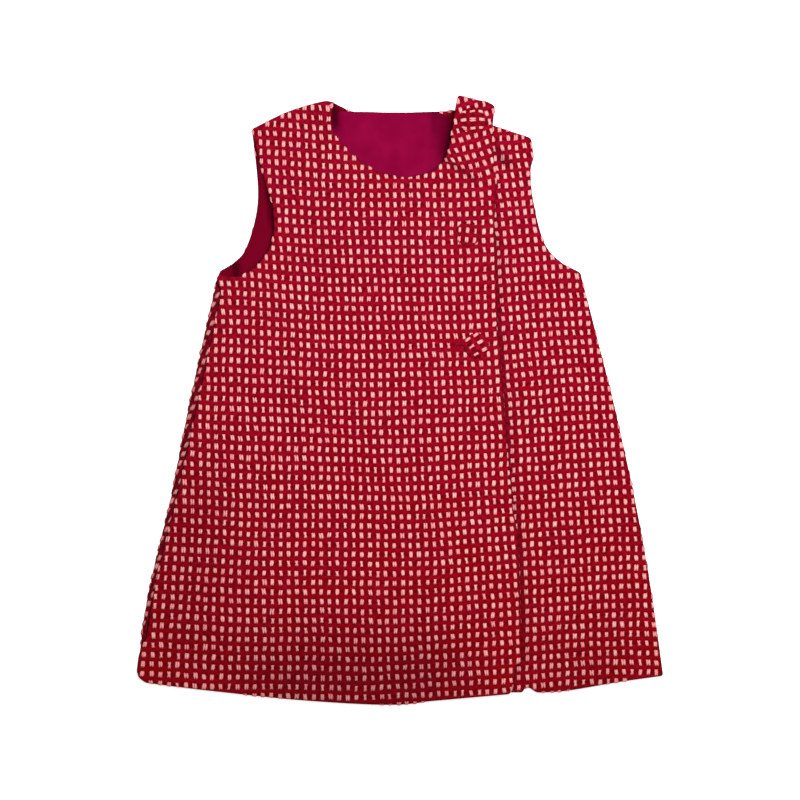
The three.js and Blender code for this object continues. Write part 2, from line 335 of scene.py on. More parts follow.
@dataclass(frozen=True)
class Grain:
    """How the woven grid lies on a panel. s runs across the cloth and t down it, both in millimetres.

    A grid point (s, t) lies at x = x0 + s + lean t + fan s t + bend t^2 + flare s t^2 + sweep s^2 t and
    y = y0 - t + slope s + bow s^2 + tip s t + curl s^3. Both then wander by a small wave. The shoulder
    tab's part, past the fold that crosses its foot, is turned by twist degrees about that foot.
    """

    origin: Pair
    lean: float = 0.0
    fan: float = 0.0
    bend: float = 0.0
    flare: float = 0.0
    sweep: float = 0.0
    slope: float = 0.0
    bow: float = 0.0
    tip: float = 0.0
    curl: float = 0.0
    twist: float = 0.0
    foot: Pair = (58.0, 178.0)
    above_foot: Pair = (0.53, 0.85)
    fold_band: Pair = (-6.0, 14.0)
    wander: float = 0.5
    pitch: Pair = (6.24, 7.57)

    def plane(self, s: Array, t: Array) -> tuple[Array, Array]:
        """Plan position of cloth position (s, t).

        Args:
            s: distance across the cloth from the grid's origin.
            t: distance down it.

        Returns:
            Arrays of x and y.
        """
        x = self.origin[0] + s + self.lean * t + self.fan * s * t + self.bend * t * t
        x = x + self.flare * s * t * t + self.sweep * s * s * t
        y = self.origin[1] - t + self.slope * s + self.bow * s * s + self.tip * s * t + self.curl * s**3
        wave_x = self.wander * np.sin(y / 23 + 2 * np.sin(x / 57))
        wave_y = self.wander * np.sin(x / 19 + 2 * np.sin(y / 71))
        x, y = x + wave_x, y + wave_y
        dx, dy = x - self.foot[0], y - self.foot[1]
        past_fold = dx * self.above_foot[0] + dy * self.above_foot[1]
        turn = np.radians(self.twist) * rise(past_fold, *self.fold_band)
        cos, sin = np.cos(turn), np.sin(turn)
        return self.foot[0] + dx * cos - dy * sin, self.foot[1] + dx * sin + dy * cos

    def cloth(self, x: Array, y: Array, rounds: int = 30) -> tuple[Array, Array]:
        """Cloth position (s, t) of a plan position, by repeated correction of a first guess."""
        s, t = x - self.origin[0], self.origin[1] - y
        for _ in range(rounds):
            px, py = self.plane(s, t)
            s, t = s + (x - px), t - (y - py)
        return s, t


# ---- Meshes from arrays --------------------------------------------------------------------------


def make_mesh(
    name: str, places: Array, faces: list[Array], smooth: bool = True
) -> Piece:
    """Makes an object from whole arrays.

    Args:
        name: the piece's name.
        places: (n, 3) positions in millimetres.
        faces: arrays of vertex numbers, each (m, 3) or (m, 4).
        smooth: whether faces are shaded smooth.

    Returns:
        The new object, at the origin, linked to the scene.
    """
    mesh = bpy.data.meshes.new(name)
    mesh.vertices.add(len(places))
    mesh.vertices.foreach_set("co", (np.asarray(places) * MM).astype(np.float32).ravel())
    sizes = np.concatenate([np.full(len(f), f.shape[1]) for f in faces])
    corners = np.concatenate([f.ravel() for f in faces])
    mesh.loops.add(len(corners))
    mesh.loops.foreach_set("vertex_index", corners.astype(np.int32))
    mesh.polygons.add(len(sizes))
    mesh.polygons.foreach_set("loop_start", (np.cumsum(sizes) - sizes).astype(np.int32))
    mesh.polygons.foreach_set("use_smooth", np.full(len(sizes), smooth))
    mesh.update(calc_edges=True)
    mesh.validate()
    piece = bpy.data.objects.new(name, mesh)
    bpy.context.scene.collection.objects.link(piece)
    return piece


def add_map(piece: Piece, name: str, places: Array) -> None:
    """Adds a UV map from one position for each vertex, or for each face corner.

    Args:
        piece: the object.
        name: the map's name.
        places: (n, 2) positions in the map, n being the number of vertices or of face corners.
    """
    mesh = piece.data
    layer = mesh.uv_layers.new(name=name, do_init=False)
    if len(places) == len(mesh.vertices):
        corners = np.empty(len(mesh.loops), np.int32)
        mesh.loops.foreach_get("vertex_index", corners)
        places = places[corners]
    layer.data.foreach_set("uv", np.asarray(places, np.float32).ravel())


def add_value(piece: Piece, name: str, values: Array) -> None:
    """Adds a number for each vertex, which materials can read by name."""
    layer = piece.data.attributes.new(name, "FLOAT", "POINT")
    layer.data.foreach_set("value", np.asarray(values, np.float32).ravel())


# ---- Finishes ------------------------------------------------------------------------------------


class Nodes:
    """Short forms for building a node tree."""

    def __init__(self, tree: bpy.types.NodeTree) -> None:
        """Keeps the tree that nodes are added to."""
        self.tree = tree

    def add(self, kind: str, **settings: object) -> bpy.types.Node:
        """Adds a node and sets its properties."""
        node = self.tree.nodes.new(kind)
        for key, value in settings.items():
            setattr(node, key, value)
        return node

    def feed(self, node: bpy.types.Node, socket: object, source: object) -> None:
        """Sets an input, named or numbered, from a value or from another node's output."""
        if isinstance(source, Socket):
            self.tree.links.new(source, node.inputs[socket])
        else:
            node.inputs[socket].default_value = source

    def math(self, operation: str, *sources: object) -> Socket:
        """A Math node's result."""
        node = self.add("ShaderNodeMath", operation=operation)
        for k, source in enumerate(sources):
            self.feed(node, k, source)
        return node.outputs[0]

    def mix(self, share: object, a: object, b: object, blend: str = "MIX") -> Socket:
        """A colour mixed from two."""
        node = self.add("ShaderNodeMix", data_type="RGBA", blend_type=blend)
        self.feed(node, 0, share)
        self.feed(node, 6, a)
        self.feed(node, 7, b)
        return node.outputs[2]

    def noise(self, vector: object, scale: float, detail: float = 2.0) -> Socket:
        """A noise pattern's value."""
        node = self.add("ShaderNodeTexNoise")
        self.feed(node, "Vector", vector)
        self.feed(node, "Scale", scale)
        self.feed(node, "Detail", detail)
        return node.outputs[0]

    def spread(self, value: object, low: float, high: float) -> Socket:
        """A value stretched from low..high to 0..1 and held there."""
        node = self.add("ShaderNodeMapRange")
        self.feed(node, 0, value)
        self.feed(node, 1, low)
        self.feed(node, 2, high)
        return node.outputs[0]


def new_group(
    name: str, inputs: dict[str, tuple[str, object]], outputs: dict[str, str]
) -> tuple[bpy.types.NodeTree, Nodes]:
    """A shader node group with named sockets.

    Args:
        name: the group's name.
        inputs: socket name to (socket type, default value or None).
        outputs: socket name to socket type.

    Returns:
        The group and the short forms for building it.
    """
    tree = bpy.data.node_groups.new(name, "ShaderNodeTree")
    for socket, (kind, value) in inputs.items():
        made = tree.interface.new_socket(socket, in_out="INPUT", socket_type=kind)
        if value is not None:
            made.default_value = value
    for socket, kind in outputs.items():
        tree.interface.new_socket(socket, in_out="OUTPUT", socket_type=kind)
    return tree, Nodes(tree)


FLOAT, VECTOR = "NodeSocketFloat", "NodeSocketVector"


@dataclass(frozen=True)
class WeaveEffect:
    """Chunky ground weave between the pips.

    The map counts pips, so each whole number is a pip's middle. Red weft bands run between the rows of
    pips, and they swell where they cross the columns. Fine yarn lines run along both.
    """

    unevenness: float = 0.06
    stray_scale: float = 1.7
    stray_reach: float = 6.0
    slant: float = 0.35
    weft_lines: float = 6.0
    warp_lines: float = 5.0
    band_height: float = 0.38
    knot_height: float = 0.34
    line_height: float = 0.28
    patch_scale: float = 0.33
    patch_detail: float = 4.0
    patch_range: Pair = (0.36, 0.64)

    def build(self) -> bpy.types.NodeTree:
        """Builds the group, with outputs Height (0 low, 1 high) and Tint (0 brick red, 1 crimson)."""
        tree, n = new_group(
            "pip_cloth_weave",
            {"Map": (VECTOR, None), "Unevenness": (FLOAT, self.unevenness)},
            {"Height": FLOAT, "Tint": FLOAT},
        )
        entry = n.add("NodeGroupInput")
        leave = n.add("NodeGroupOutput")
        grid = entry.outputs["Map"]
        split = n.add("ShaderNodeSeparateXYZ")
        n.feed(split, 0, grid)
        off_middle = n.math("SUBTRACT", n.noise(grid, self.stray_scale), 0.5)
        stray = n.math("MULTIPLY", off_middle, self.stray_reach)
        wobble = n.math("MULTIPLY", stray, entry.outputs["Unevenness"])
        across = n.math("ADD", split.outputs[0], wobble)
        down = n.math("SUBTRACT", split.outputs[1], wobble)

        def half_wave(value: object, per_cell: float) -> Socket:
            """0 on each whole number of the value times per_cell, and 1 halfway between them."""
            wave = n.math("COSINE", n.math("MULTIPLY", value, 2 * math.pi * per_cell))
            return n.math("MULTIPLY_ADD", wave, -0.5, 0.5)

        band = half_wave(down, 1.0)
        knot = n.math("MULTIPLY", band, half_wave(across, 1.0))
        slanted = n.math("MULTIPLY_ADD", across, self.slant, down)
        weft = n.math("MULTIPLY", half_wave(slanted, self.weft_lines), band)
        between = half_wave(across, self.warp_lines)
        warp = n.math("MULTIPLY", between, n.math("SUBTRACT", 1.0, band))
        high_band = n.math("MULTIPLY", band, self.band_height)
        coarse = n.math("ADD", high_band, n.math("MULTIPLY", knot, self.knot_height))
        fine = n.math("MULTIPLY", n.math("ADD", weft, warp), self.line_height)
        n.feed(leave, "Height", n.math("ADD", coarse, fine))
        patches = n.noise(grid, self.patch_scale, self.patch_detail)
        n.feed(leave, "Tint", n.spread(patches, *self.patch_range))
        return tree


@dataclass(frozen=True)
class FibreEffect:
    """Fine fibre noise for a bump and for small changes of shade, on object coordinates."""

    fine_scale: float = 1900.0
    fine_detail: float = 3.0
    shade_scale: float = 420.0
    shade_detail: float = 2.0

    def build(self) -> bpy.types.NodeTree:
        """Builds the group, with outputs Height and Shade (0 to 1)."""
        tree, n = new_group("fibre", {"Size": (FLOAT, 1.0)}, {"Height": FLOAT, "Shade": FLOAT})
        entry = n.add("NodeGroupInput")
        leave = n.add("NodeGroupOutput")
        place = n.add("ShaderNodeTexCoord").outputs["Object"]
        scaled = n.add("ShaderNodeVectorMath", operation="SCALE")
        n.feed(scaled, 0, place)
        n.feed(scaled, 3, n.math("DIVIDE", 1.0, entry.outputs["Size"]))
        n.feed(leave, "Height", n.noise(scaled.outputs[0], self.fine_scale, self.fine_detail))
        n.feed(leave, "Shade", n.noise(scaled.outputs[0], self.shade_scale, self.shade_detail))
        return tree


@dataclass(frozen=True)
class Finish:
    """Base of the finishes: a Principled surface with constant settings on its own sockets."""

    name: str
    roughness: float = 0.9
    sheen: float = 0.015
    sheen_tint: Triple = (1.0, 0.8, 0.8)
    gloss: float = 0.03
    fibre_size: float = 1.0
    fibre_depth: float = 0.00025
    # Colour that the painted shade mixes in, where light is kept out.
    dark: Triple = (0.03, 0.0, 0.003)
    groups: dict[str, bpy.types.NodeTree] = field(default_factory=dict)

    def start(self) -> tuple[bpy.types.Material, Nodes, bpy.types.Node]:
        """A new material, its short forms and its Principled node.

        Returns:
            The material, the short forms and the node, with this finish's settings.
        """
        material = bpy.data.materials.new(self.name)
        material.use_nodes = True
        n = Nodes(material.node_tree)
        surface = material.node_tree.nodes["Principled BSDF"]
        surface.inputs["Roughness"].default_value = self.roughness
        surface.inputs["Sheen Weight"].default_value = self.sheen
        surface.inputs["Sheen Tint"].default_value = (*self.sheen_tint, 1.0)
        surface.inputs["Specular IOR Level"].default_value = self.gloss
        return material, n, surface

    def use(self, n: Nodes, group: str, **values: object) -> bpy.types.Node:
        """Places a shared group in the material with its own values."""
        node = n.add("ShaderNodeGroup", node_tree=self.groups[group])
        for key, value in values.items():
            n.feed(node, key, value)
        return node

    def with_painted_shade(self, n: Nodes, colour: object) -> Socket:
        """The colour, darkened toward the finish's shade colour as painted shade where light is kept out
        of the cloth.
        """
        hollow = n.add("ShaderNodeAttribute", attribute_name="hollow").outputs["Fac"]
        return n.mix(hollow, colour, (*self.dark, 1))

    def bump(
        self, n: Nodes, height: object, distance: float, below: object = None
    ) -> Socket:
        """A Bump node's normal.

        Args:
            n: the material's short forms.
            height: height from 0 to 1.
            distance: metres that a full step of height stands for.
            below: normal that the bump is laid over, if any.

        Returns:
            The normal.
        """
        node = n.add("ShaderNodeBump")
        n.feed(node, "Distance", distance)
        n.feed(node, "Strength", 1.0)
        n.feed(node, "Height", height)
        if below is not None:
            n.feed(node, "Normal", below)
        return node.outputs[0]


@dataclass(frozen=True)
class PipClothGround(Finish):
    """The red ground of the cloth: crimson and brick yarn, with painted shade in the low gaps of the
    weave and toward the hem.
    """

    brick: Triple = (0.29, 0.0, 0.001)
    crimson: Triple = (0.33, 0.001, 0.021)
    gap: Triple = (0.14, 0.0, 0.004)
    worn_tint: Triple = (0.62, 1.0, 0.6)
    worn_range: Pair = (0.35, 0.6)
    relief: float = 0.0009
    full_height: float = 0.75
    hem_row: float = -34.0
    neck_row: float = 16.0
    patch_share: float = 0.3
    neck_share: float = 0.75

    def build(self) -> bpy.types.Material:
        """Builds and returns the material."""
        material, n, surface = self.start()
        grid = n.add("ShaderNodeUVMap", uv_map="grain").outputs[0]
        weave = self.use(n, "weave", Map=grid)
        fibre = self.use(n, "fibre", Size=self.fibre_size)
        rows = n.add("ShaderNodeSeparateXYZ")
        n.feed(rows, 0, grid)
        # Painted shade: the yarn drifts from crimson to the darker brick red down toward the hem.
        toward_neck = n.spread(rows.outputs[1], self.hem_row, self.neck_row)
        painted_shade_drift = n.math("MULTIPLY", toward_neck, self.neck_share)
        tint = n.math("MULTIPLY_ADD", weave.outputs["Tint"], self.patch_share, painted_shade_drift)
        yarn = n.mix(tint, (*self.brick, 1), (*self.crimson, 1))
        # Painted shade: the colour follows the weave's height, darkest in its low gaps.
        raised = n.spread(weave.outputs["Height"], 0.0, self.full_height)
        colour = n.mix(raised, (*self.gap, 1), yarn)
        worn = n.mix(1.0, colour, (*self.worn_tint, 1), "MULTIPLY")
        colour = n.mix(n.spread(fibre.outputs["Shade"], *self.worn_range), worn, colour)
        n.feed(surface, "Base Color", self.with_painted_shade(n, colour))
        coarse = self.bump(n, weave.outputs["Height"], self.relief)
        n.feed(surface, "Normal", self.bump(n, fibre.outputs["Height"], self.fibre_depth, coarse))
        return material


@dataclass(frozen=True)
class PipYarn(Finish):
    """The pale floats: cream to pink, deeper in colour where they sink into the ground."""

    roughness: float = 0.85
    fibre_size: float = 0.8
    # Colour of the pips' painted shade.
    dark: Triple = (0.14, 0.008, 0.012)
    cream: Triple = (0.84, 0.42, 0.385)
    pink: Triple = (0.80, 0.26, 0.27)
    root: Triple = (0.58, 0.05, 0.065)
    root_range: Pair = (0.05, 0.8)
    unevenness: float = 0.5

    def build(self) -> bpy.types.Material:
        """Builds and returns the material."""
        material, n, surface = self.start()
        tone = n.add("ShaderNodeAttribute", attribute_name="tone").outputs["Fac"]
        crown = n.add("ShaderNodeAttribute", attribute_name="crown").outputs["Fac"]
        fibre = self.use(n, "fibre", Size=self.fibre_size)
        uneven = n.math("MULTIPLY_ADD", fibre.outputs["Shade"], self.unevenness, -self.unevenness / 2)
        shade = n.math("ADD", tone, uneven)
        pale = n.mix(n.spread(shade, 0.0, 1.0), (*self.pink, 1), (*self.cream, 1))
        float_colour = n.mix(n.spread(crown, *self.root_range), (*self.root, 1), pale)
        n.feed(surface, "Base Color", self.with_painted_shade(n, float_colour))
        n.feed(surface, "Normal", self.bump(n, fibre.outputs["Height"], self.fibre_depth))
        return material


@dataclass(frozen=True)
class LiningSatin(Finish):
    """Smooth magenta lining with a fine weave."""

    roughness: float = 0.55
    sheen: float = 0.0
    gloss: float = 0.0
    fibre_size: float = 2.5
    fibre_depth: float = 0.00006
    magenta: Triple = (0.21, 0.002, 0.034)
    deep: Triple = (0.17, 0.001, 0.025)
    # Painted shade: the lining's colour out in the armhole, in the shade of the front's edge.
    armhole: Triple = (0.13, 0.001, 0.011)
    cloud_scale: float = 0.35
    cloud_range: Pair = (0.3, 0.7)
    armhole_shade_columns: Pair = (-16.5, -11.0)

    def build(self) -> bpy.types.Material:
        """Builds and returns the material."""
        material, n, surface = self.start()
        fibre = self.use(n, "fibre", Size=self.fibre_size)
        grid = n.add("ShaderNodeUVMap", uv_map="grain").outputs[0]
        cloudy = n.spread(n.noise(grid, self.cloud_scale), *self.cloud_range)
        middle = n.mix(cloudy, (*self.deep, 1), (*self.magenta, 1))
        # Painted shade: darker from these columns of the grid out into the armhole.
        columns = n.add("ShaderNodeSeparateXYZ")
        n.feed(columns, 0, grid)
        inward = n.spread(columns.outputs[0], *self.armhole_shade_columns)
        satin = n.mix(inward, (*self.armhole, 1), middle)
        n.feed(surface, "Base Color", self.with_painted_shade(n, satin))
        n.feed(surface, "Normal", self.bump(n, fibre.outputs["Height"], self.fibre_depth))
        return material


@dataclass(frozen=True)
class SewingThread(Finish):
    """Twisted red thread of the worked buttonholes."""

    roughness: float = 0.7
    fibre_size: float = 0.6
    fibre_depth: float = 0.0002
    colour: Triple = (0.36, 0.006, 0.03)
    shadow: Triple = (0.16, 0.001, 0.01)
    shade_range: Pair = (0.25, 0.7)

    def build(self) -> bpy.types.Material:
        """Builds and returns the material."""
        material, n, surface = self.start()
        fibre = self.use(n, "fibre", Size=self.fibre_size)
        shade = n.spread(fibre.outputs["Shade"], *self.shade_range)
        n.feed(surface, "Base Color", n.mix(shade, (*self.shadow, 1), (*self.colour, 1)))
        n.feed(surface, "Normal", self.bump(n, fibre.outputs["Height"], self.fibre_depth))
        return material


class Cloth(Enum):
    """The finishes that pieces are made in."""

    GROUND = "ground"
    PIP = "pip"
    LINING = "lining"
    THREAD = "thread"


class Wardrobe:
    """Builds the shared groups and one material for each finish."""

    def __init__(self) -> None:
        """Builds the groups and the materials."""
        groups = {"weave": WeaveEffect().build(), "fibre": FibreEffect().build()}
        self.materials = {
            Cloth.GROUND: PipClothGround("pip_cloth_ground", groups=groups).build(),
            Cloth.PIP: PipYarn("pip_yarn", groups=groups).build(),
            Cloth.LINING: LiningSatin("lining_satin", groups=groups).build(),
            Cloth.THREAD: SewingThread("sewing_thread", groups=groups).build(),
        }

    def dress(self, piece: Piece, cloth: Cloth, slot: str) -> None:
        """Gives a piece its material and its body, and logs it."""
        piece.data.materials.append(self.materials[cloth])
        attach(piece, "root")
        LOG.info("%s: %d faces in %s", piece.name, len(piece.data.polygons), cloth.value)


# ---- Heights shared by the layers ----------------------------------------------------------------


@dataclass(frozen=True)
class Layers:
    """Heights in millimetres at which the layers of the dress lie, as in its solids."""

    cloth: float = 1.8
    gap: float = 0.3
    lining: float = 1.0
    loft: float = 1.2
    loft_reach: float = 38.0
    lining_foot: float = 73.0
    lining_climb: float = 24.0
    chest: Pair = (145.6, 100.0)
    hem: Pair = (210.4, -218.0)
    lap_climb: float = 26.0
    lap_top: Pair = (20.0, 160.0)
    lap_foot: Pair = (39.0, -218.0)
    shoulder_peak: Pair = (50.0, 240.0)
    shoulder_slope: float = 0.33

    def half_width(self, y: Array) -> Array:
        """Half the dress's width at y: even above the chest, and widening in a line to the hem."""
        return np.interp(-y, [-self.chest[1], -self.hem[1]], [self.chest[0], self.hem[0]])

    def front_floor(self, x: Array, y: Array) -> Array:
        """Underside of cloth on the back or its lining: it rises from the seams and on the lining.

        Args:
            x: plan positions.
            y: plan positions.

        Returns:
            Height above the floor.
        """
        climb = rise(y, self.lining_foot - self.lining_climb, self.lining_foot)
        on_lining = (self.lining + self.gap) * climb
        from_side = rise(self.half_width(y) - np.abs(x), 0, self.loft_reach)
        peak_x, peak_y = self.shoulder_peak
        shoulder = peak_y - self.shoulder_slope * np.maximum(0, np.abs(x) - peak_x)
        from_shoulder = rise(shoulder - y, 0, self.loft_reach)
        return self.cloth + self.gap + on_lining + self.loft * from_side * from_shoulder

    def lap(self, x: Array, y: Array) -> Array:
        """Extra height of the main front where it climbs on to the underlap."""
        top, foot = self.lap_top, self.lap_foot
        start = np.interp(-y, [-top[1], -foot[1]], [top[0], foot[0]])
        return (self.cloth + self.gap) * rise(x - start, -self.lap_climb, 0)


LAYERS = Layers()
# Bands of painted shade, with no height, in the deep pockets under the front's neck corners; the back and
# its lining share them.
NECK_POCKET_SHADE = (
    Crease((-54, 243), (-51, 213), 4.6, 0.0, hollow=0.9),
    Crease((45, 250), (37, 184), 5.0, 0.0, hollow=0.85),
)


# ---- Panels --------------------------------------------------------------------------------------


@dataclass
class Panel:
    """A cut piece of cloth as a thin closed shell with a rounded rim.

    Positions are laid out flat, as (x, y, depth) with depth 0 on the outer face, and place() folds and
    lifts them to where the cloth lies. The rim is half a circle carried along the outline.
    """

    name: str
    node: str
    slot: str
    cloth: Cloth
    grain: Grain
    thickness: float = 1.8
    rim: float = 2.5
    band: Pair = (7.0, 13.0)
    cell: float = 3.0
    rim_steps: int = 6
    clear_of_rim: float = 0.55
    # Painted shade on the rim, growing as it turns away from the light.
    rim_shade: float = 0.7
    rim_shade_from: Pair = (0.2, 1.4)
    map_margin: float = 6.0
    map_fill: float = 2.02
    map_edge: float = 0.005
    outer_up: bool = True
    creases: tuple[Crease, ...] = ()
    outline: Outline | None = None

    def __post_init__(self) -> None:
        """Reads the outline from the frame."""
        self.outline = self.cut(Outline.of_node(self.node))

    def cut(self, outline: Outline) -> Outline:
        """The flat outline, changed where the cloth wraps round an edge."""
        return outline

    def floor(self, x: Array, y: Array) -> Array:
        """Height of the underside at (x, y)."""
        return LAYERS.front_floor(x, y) + relief(self.creases, x, y)

    def painted_shade_at(self, x: Array, y: Array, z: Array) -> Array:
        """Painted shade of the cloth at (x, y, z), 0 to 1, where light is kept out."""
        return painted_shade_at(self.creases, x, y) + 0 * z

    def rim_painted_shade(self, angle: Array) -> Array:
        """Painted shade where the rim has turned by an angle, in radians, away from the light."""
        return self.rim_shade * rise(angle, *self.rim_shade_from)

    def wall(self, inset: Array) -> Array:
        """Thickness: the rim's inside the turned edge's band, thinning to the cloth's beyond it."""
        return self.rim + (self.thickness - self.rim) * rise(inset, *self.band)

    def place(self, x: Array, y: Array, depth: Array, inset: Array) -> Array:
        """Position in space of flat cloth positions: the floor's height plus the wall less the depth.

        Args:
            x: flat positions.
            y: flat positions.
            depth: depth below the outer face.
            inset: distance inside the outline.

        Returns:
            (..., 3) positions in millimetres.
        """
        return np.stack([x, y, self.floor(x, y) + self.wall(inset) - depth], axis=-1)

    def rolled(self, past: Array, height: Array) -> tuple[Array, Array]:
        """The rim's half circle.

        Args:
            past: distance along the cloth past the line where the rim's curve begins.
            height: height above the outer face.

        Returns:
            Distance outward from that line, and depth. After half a circle the cloth runs back inward.
        """
        radius = self.rim / 2
        angle = np.clip(past / radius, 0, math.pi)
        back = np.maximum(past - math.pi * radius, 0)
        flat = np.minimum(past, 0)
        outward = flat + (radius + height) * np.sin(angle) - back
        return outward, radius - (radius + height) * np.cos(angle)

    def face_points(self) -> tuple[Array, Array]:
        """Flat points of one face: the line where the rim begins, then a staggered grid inside it.

        Returns:
            (n, 2) points, and their distances inside the outline.
        """
        radius, cell = self.rim / 2, self.cell
        low, high = self.outline.points.min(axis=0), self.outline.points.max(axis=0)
        gx, gy = np.meshgrid(np.arange(low[0], high[0], cell), np.arange(low[1], high[1], cell))
        gx = gx + 0.5 * cell * (np.arange(gx.shape[0]) % 2)[:, None]
        grid = np.stack([gx.ravel(), gy.ravel()], axis=1)
        inset = self.outline.nearest(grid[:, 0], grid[:, 1])[0]
        keep = inset > radius + self.clear_of_rim * cell
        start = self.outline.drawn_in(radius)
        insets = np.concatenate([np.full(len(start), radius), inset[keep]])
        return np.vstack([start, grid[keep]]), insets

    def shell_faces(self, flat: Array, count: int) -> list[Array]:
        """Faces of the shell, with their outer sides out.

        Args:
            flat: flat points of one face, the rim's first.
            count: number of points round the rim.

        Returns:
            Triangles of the outer face, triangles of the inner one and quads round the rim.
        """
        made = delaunay_2d_cdt([Vector(p) for p in flat], [], [list(range(count))], 1, 1e-5)
        origin = np.array([ids[0] for ids in made[3]])
        outer = origin[np.array(made[2])]
        ring = np.arange(count)
        turned = [2 * len(flat) + k * count + ring for k in range(self.rim_steps - 1)]
        rings = [ring, *turned, len(flat) + ring]
        quads = [
            np.stack([a, b, np.roll(b, -1), np.roll(a, -1)], axis=1)
            for a, b in zip(rings[:-1], rings[1:])
        ]
        faces = [outer, outer[:, ::-1] + len(flat), np.vstack(quads)]
        return faces if self.outer_up else [f[:, ::-1] for f in faces]

    def shell(self) -> Piece:
        """Builds the closed shell: one set of triangles for each face, joined by rings round the rim.

        Returns:
            The new piece, with its maps and the value that paints shade on it.
        """
        flat, insets = self.face_points()
        count, radius = len(self.outline.points), self.rim / 2
        start, normal = flat[:count], self.outline.normals()
        outer, inner = np.zeros(len(flat)), self.wall(insets)
        sheets = [self.place(*flat.T, depth, insets) for depth in (outer, inner)]
        unrolled, angles = [flat, flat], [np.zeros(2 * len(flat))]
        for k in range(1, self.rim_steps):
            past = np.full(count, math.pi * radius * k / self.rim_steps)
            outward, depth = self.rolled(past, np.zeros(count))
            ring = start + normal * outward[:, None]
            sheets.append(self.place(*ring.T, depth, np.zeros(count)))
            unrolled.append(start + normal * past[:, None])
            angles.append(past / radius)
        places, cloth = np.vstack(sheets), np.vstack(unrolled)
        piece = make_mesh(self.name, places, self.shell_faces(flat, count))
        s, t = self.grain.cloth(*cloth.T)
        add_map(piece, "grain", np.stack([s / self.grain.pitch[0], -t / self.grain.pitch[1]], axis=1))
        # Painted shade: the creases', and the rim's where it turns away from the light.
        face_painted_shade = self.painted_shade_at(*cloth.T, places[:, 2])
        add_value(piece, "hollow", np.maximum(face_painted_shade, self.rim_painted_shade(np.concatenate(angles))))
        self.add_bake_map(piece, cloth, len(flat), count)
        return piece

    def add_bake_map(self, piece: Piece, cloth: Array, face: int, count: int) -> None:
        """Adds the map that colours can be painted through.

        The outer face and the outer half of the rim fill the left half of the map. The inner face fills
        the right half, mirrored, with the rest of the rim unrolled outward round it.

        Args:
            piece: the shell.
            cloth: flat cloth position of each vertex.
            face: number of vertices on one face.
            count: number of vertices round the rim.
        """
        mesh, steps = piece.data, self.rim_steps
        ring = np.concatenate([
            np.zeros(face, int), np.full(face, steps), np.repeat(np.arange(1, steps), count)
        ])
        around = np.tile(np.arange(count), steps - 1)
        past = math.pi * self.rim / 2 * (1 - ring[2 * face :, None] / steps)
        mirrored = cloth.copy()
        mirrored[2 * face :] = cloth[around] + self.outline.normals()[around] * past
        corners = np.empty(len(mesh.loops), np.int32)
        mesh.loops.foreach_get("vertex_index", corners)
        totals = np.empty(len(mesh.polygons), np.int32)
        mesh.polygons.foreach_get("loop_total", totals)
        owner = np.repeat(np.arange(len(totals)), totals)
        lowest = np.full(len(totals), steps)
        np.minimum.at(lowest, owner, ring[corners])
        inner_side = lowest[owner] >= steps // 2
        low = self.outline.points.min(axis=0) - self.map_margin
        size = (self.outline.points.max(axis=0) + self.map_margin - low).max() * self.map_fill
        uv = (np.where(inner_side[:, None], mirrored[corners], cloth[corners]) - low) / size
        uv[:, 0] = np.where(inner_side, 1 - self.map_edge - uv[:, 0], self.map_edge + uv[:, 0])
        add_map(piece, "OFBake", uv)


@dataclass
class MainFront(Panel):
    """The main front with its shoulder tab. It laps over the underlap of the side front."""

    shoulder_button: Pair = (57.9, 223.4)
    clear_of_button: Pair = (9.5, 16.0)
    tab_lift: Mound = Mound((40, 213), (8, 24), 4.2)
    edge_lifts: tuple[Mound, ...] = (
        Mound((-50, 220), (11, 17), 4.2),
        Mound((-101, 145), (12, 34), 1.6),
        Mound((-122, 103), (13, 9), 1.6),
    )
    closing_lift: float = 0.4
    closing_reach: float = 7.0
    closing_top: Pair = (-150.0, -110.0)

    def cut(self, outline: Outline) -> Outline:
        """The side seam lies inside the rolled edge of the back."""
        return outline.shifted(ROLL.seam_inset(outline.points))

    def floor(self, x: Array, y: Array) -> Array:
        """Underside: the front's floor, the climb on to the underlap, and the edges' lifts.

        The neck and the armhole stand up at their edges. So does the tab, except near its button, and
        the closing edge, more and more from closing_top down.
        """
        from_button = np.hypot(x - self.shoulder_button[0], y - self.shoulder_button[1])
        lift = self.tab_lift.at(x, y) * rise(from_button, *self.clear_of_button)
        for mound in self.edge_lifts:
            lift = lift + mound.at(x, y)
        edge = (MAIN_CLOSING.x_at(y) - x) / self.closing_reach
        lift = lift + self.closing_lift * np.exp(-(edge**2)) * rise(-y, *self.closing_top)
        return super().floor(x, y) + LAYERS.lap(x, y) + lift


@dataclass
class SideFront(Panel):
    """The side front, whose hidden part is the underlap that carries the buttons."""

    furrow_middle: float = 1.5
    furrow_reach: float = 4.5
    furrow_top: Pair = (-190.0, -120.0)
    furrow_depth: float = 0.6
    # Painted shade in the furrow beside the closing edge.
    furrow_painted_shade: float = 0.3

    def furrow(self, x: Array, y: Array) -> Array:
        """1 along a line just outside the closing edge, with a bell across it."""
        across = (x - MAIN_CLOSING.x_at(y) - self.furrow_middle) / self.furrow_reach
        return np.exp(-(across**2)) * rise(-y, *self.furrow_top)

    def floor(self, x: Array, y: Array) -> Array:
        """Underside: the front's floor, pressed down in a furrow along the closing edge."""
        return super().floor(x, y) - self.furrow_depth * self.furrow(x, y)

    def painted_shade_at(self, x: Array, y: Array, z: Array) -> Array:
        """Painted shade of the creases and of the furrow."""
        light = 1 - self.furrow_painted_shade * self.furrow(x, y)
        return 1 - (1 - super().painted_shade_at(x, y, z)) * light


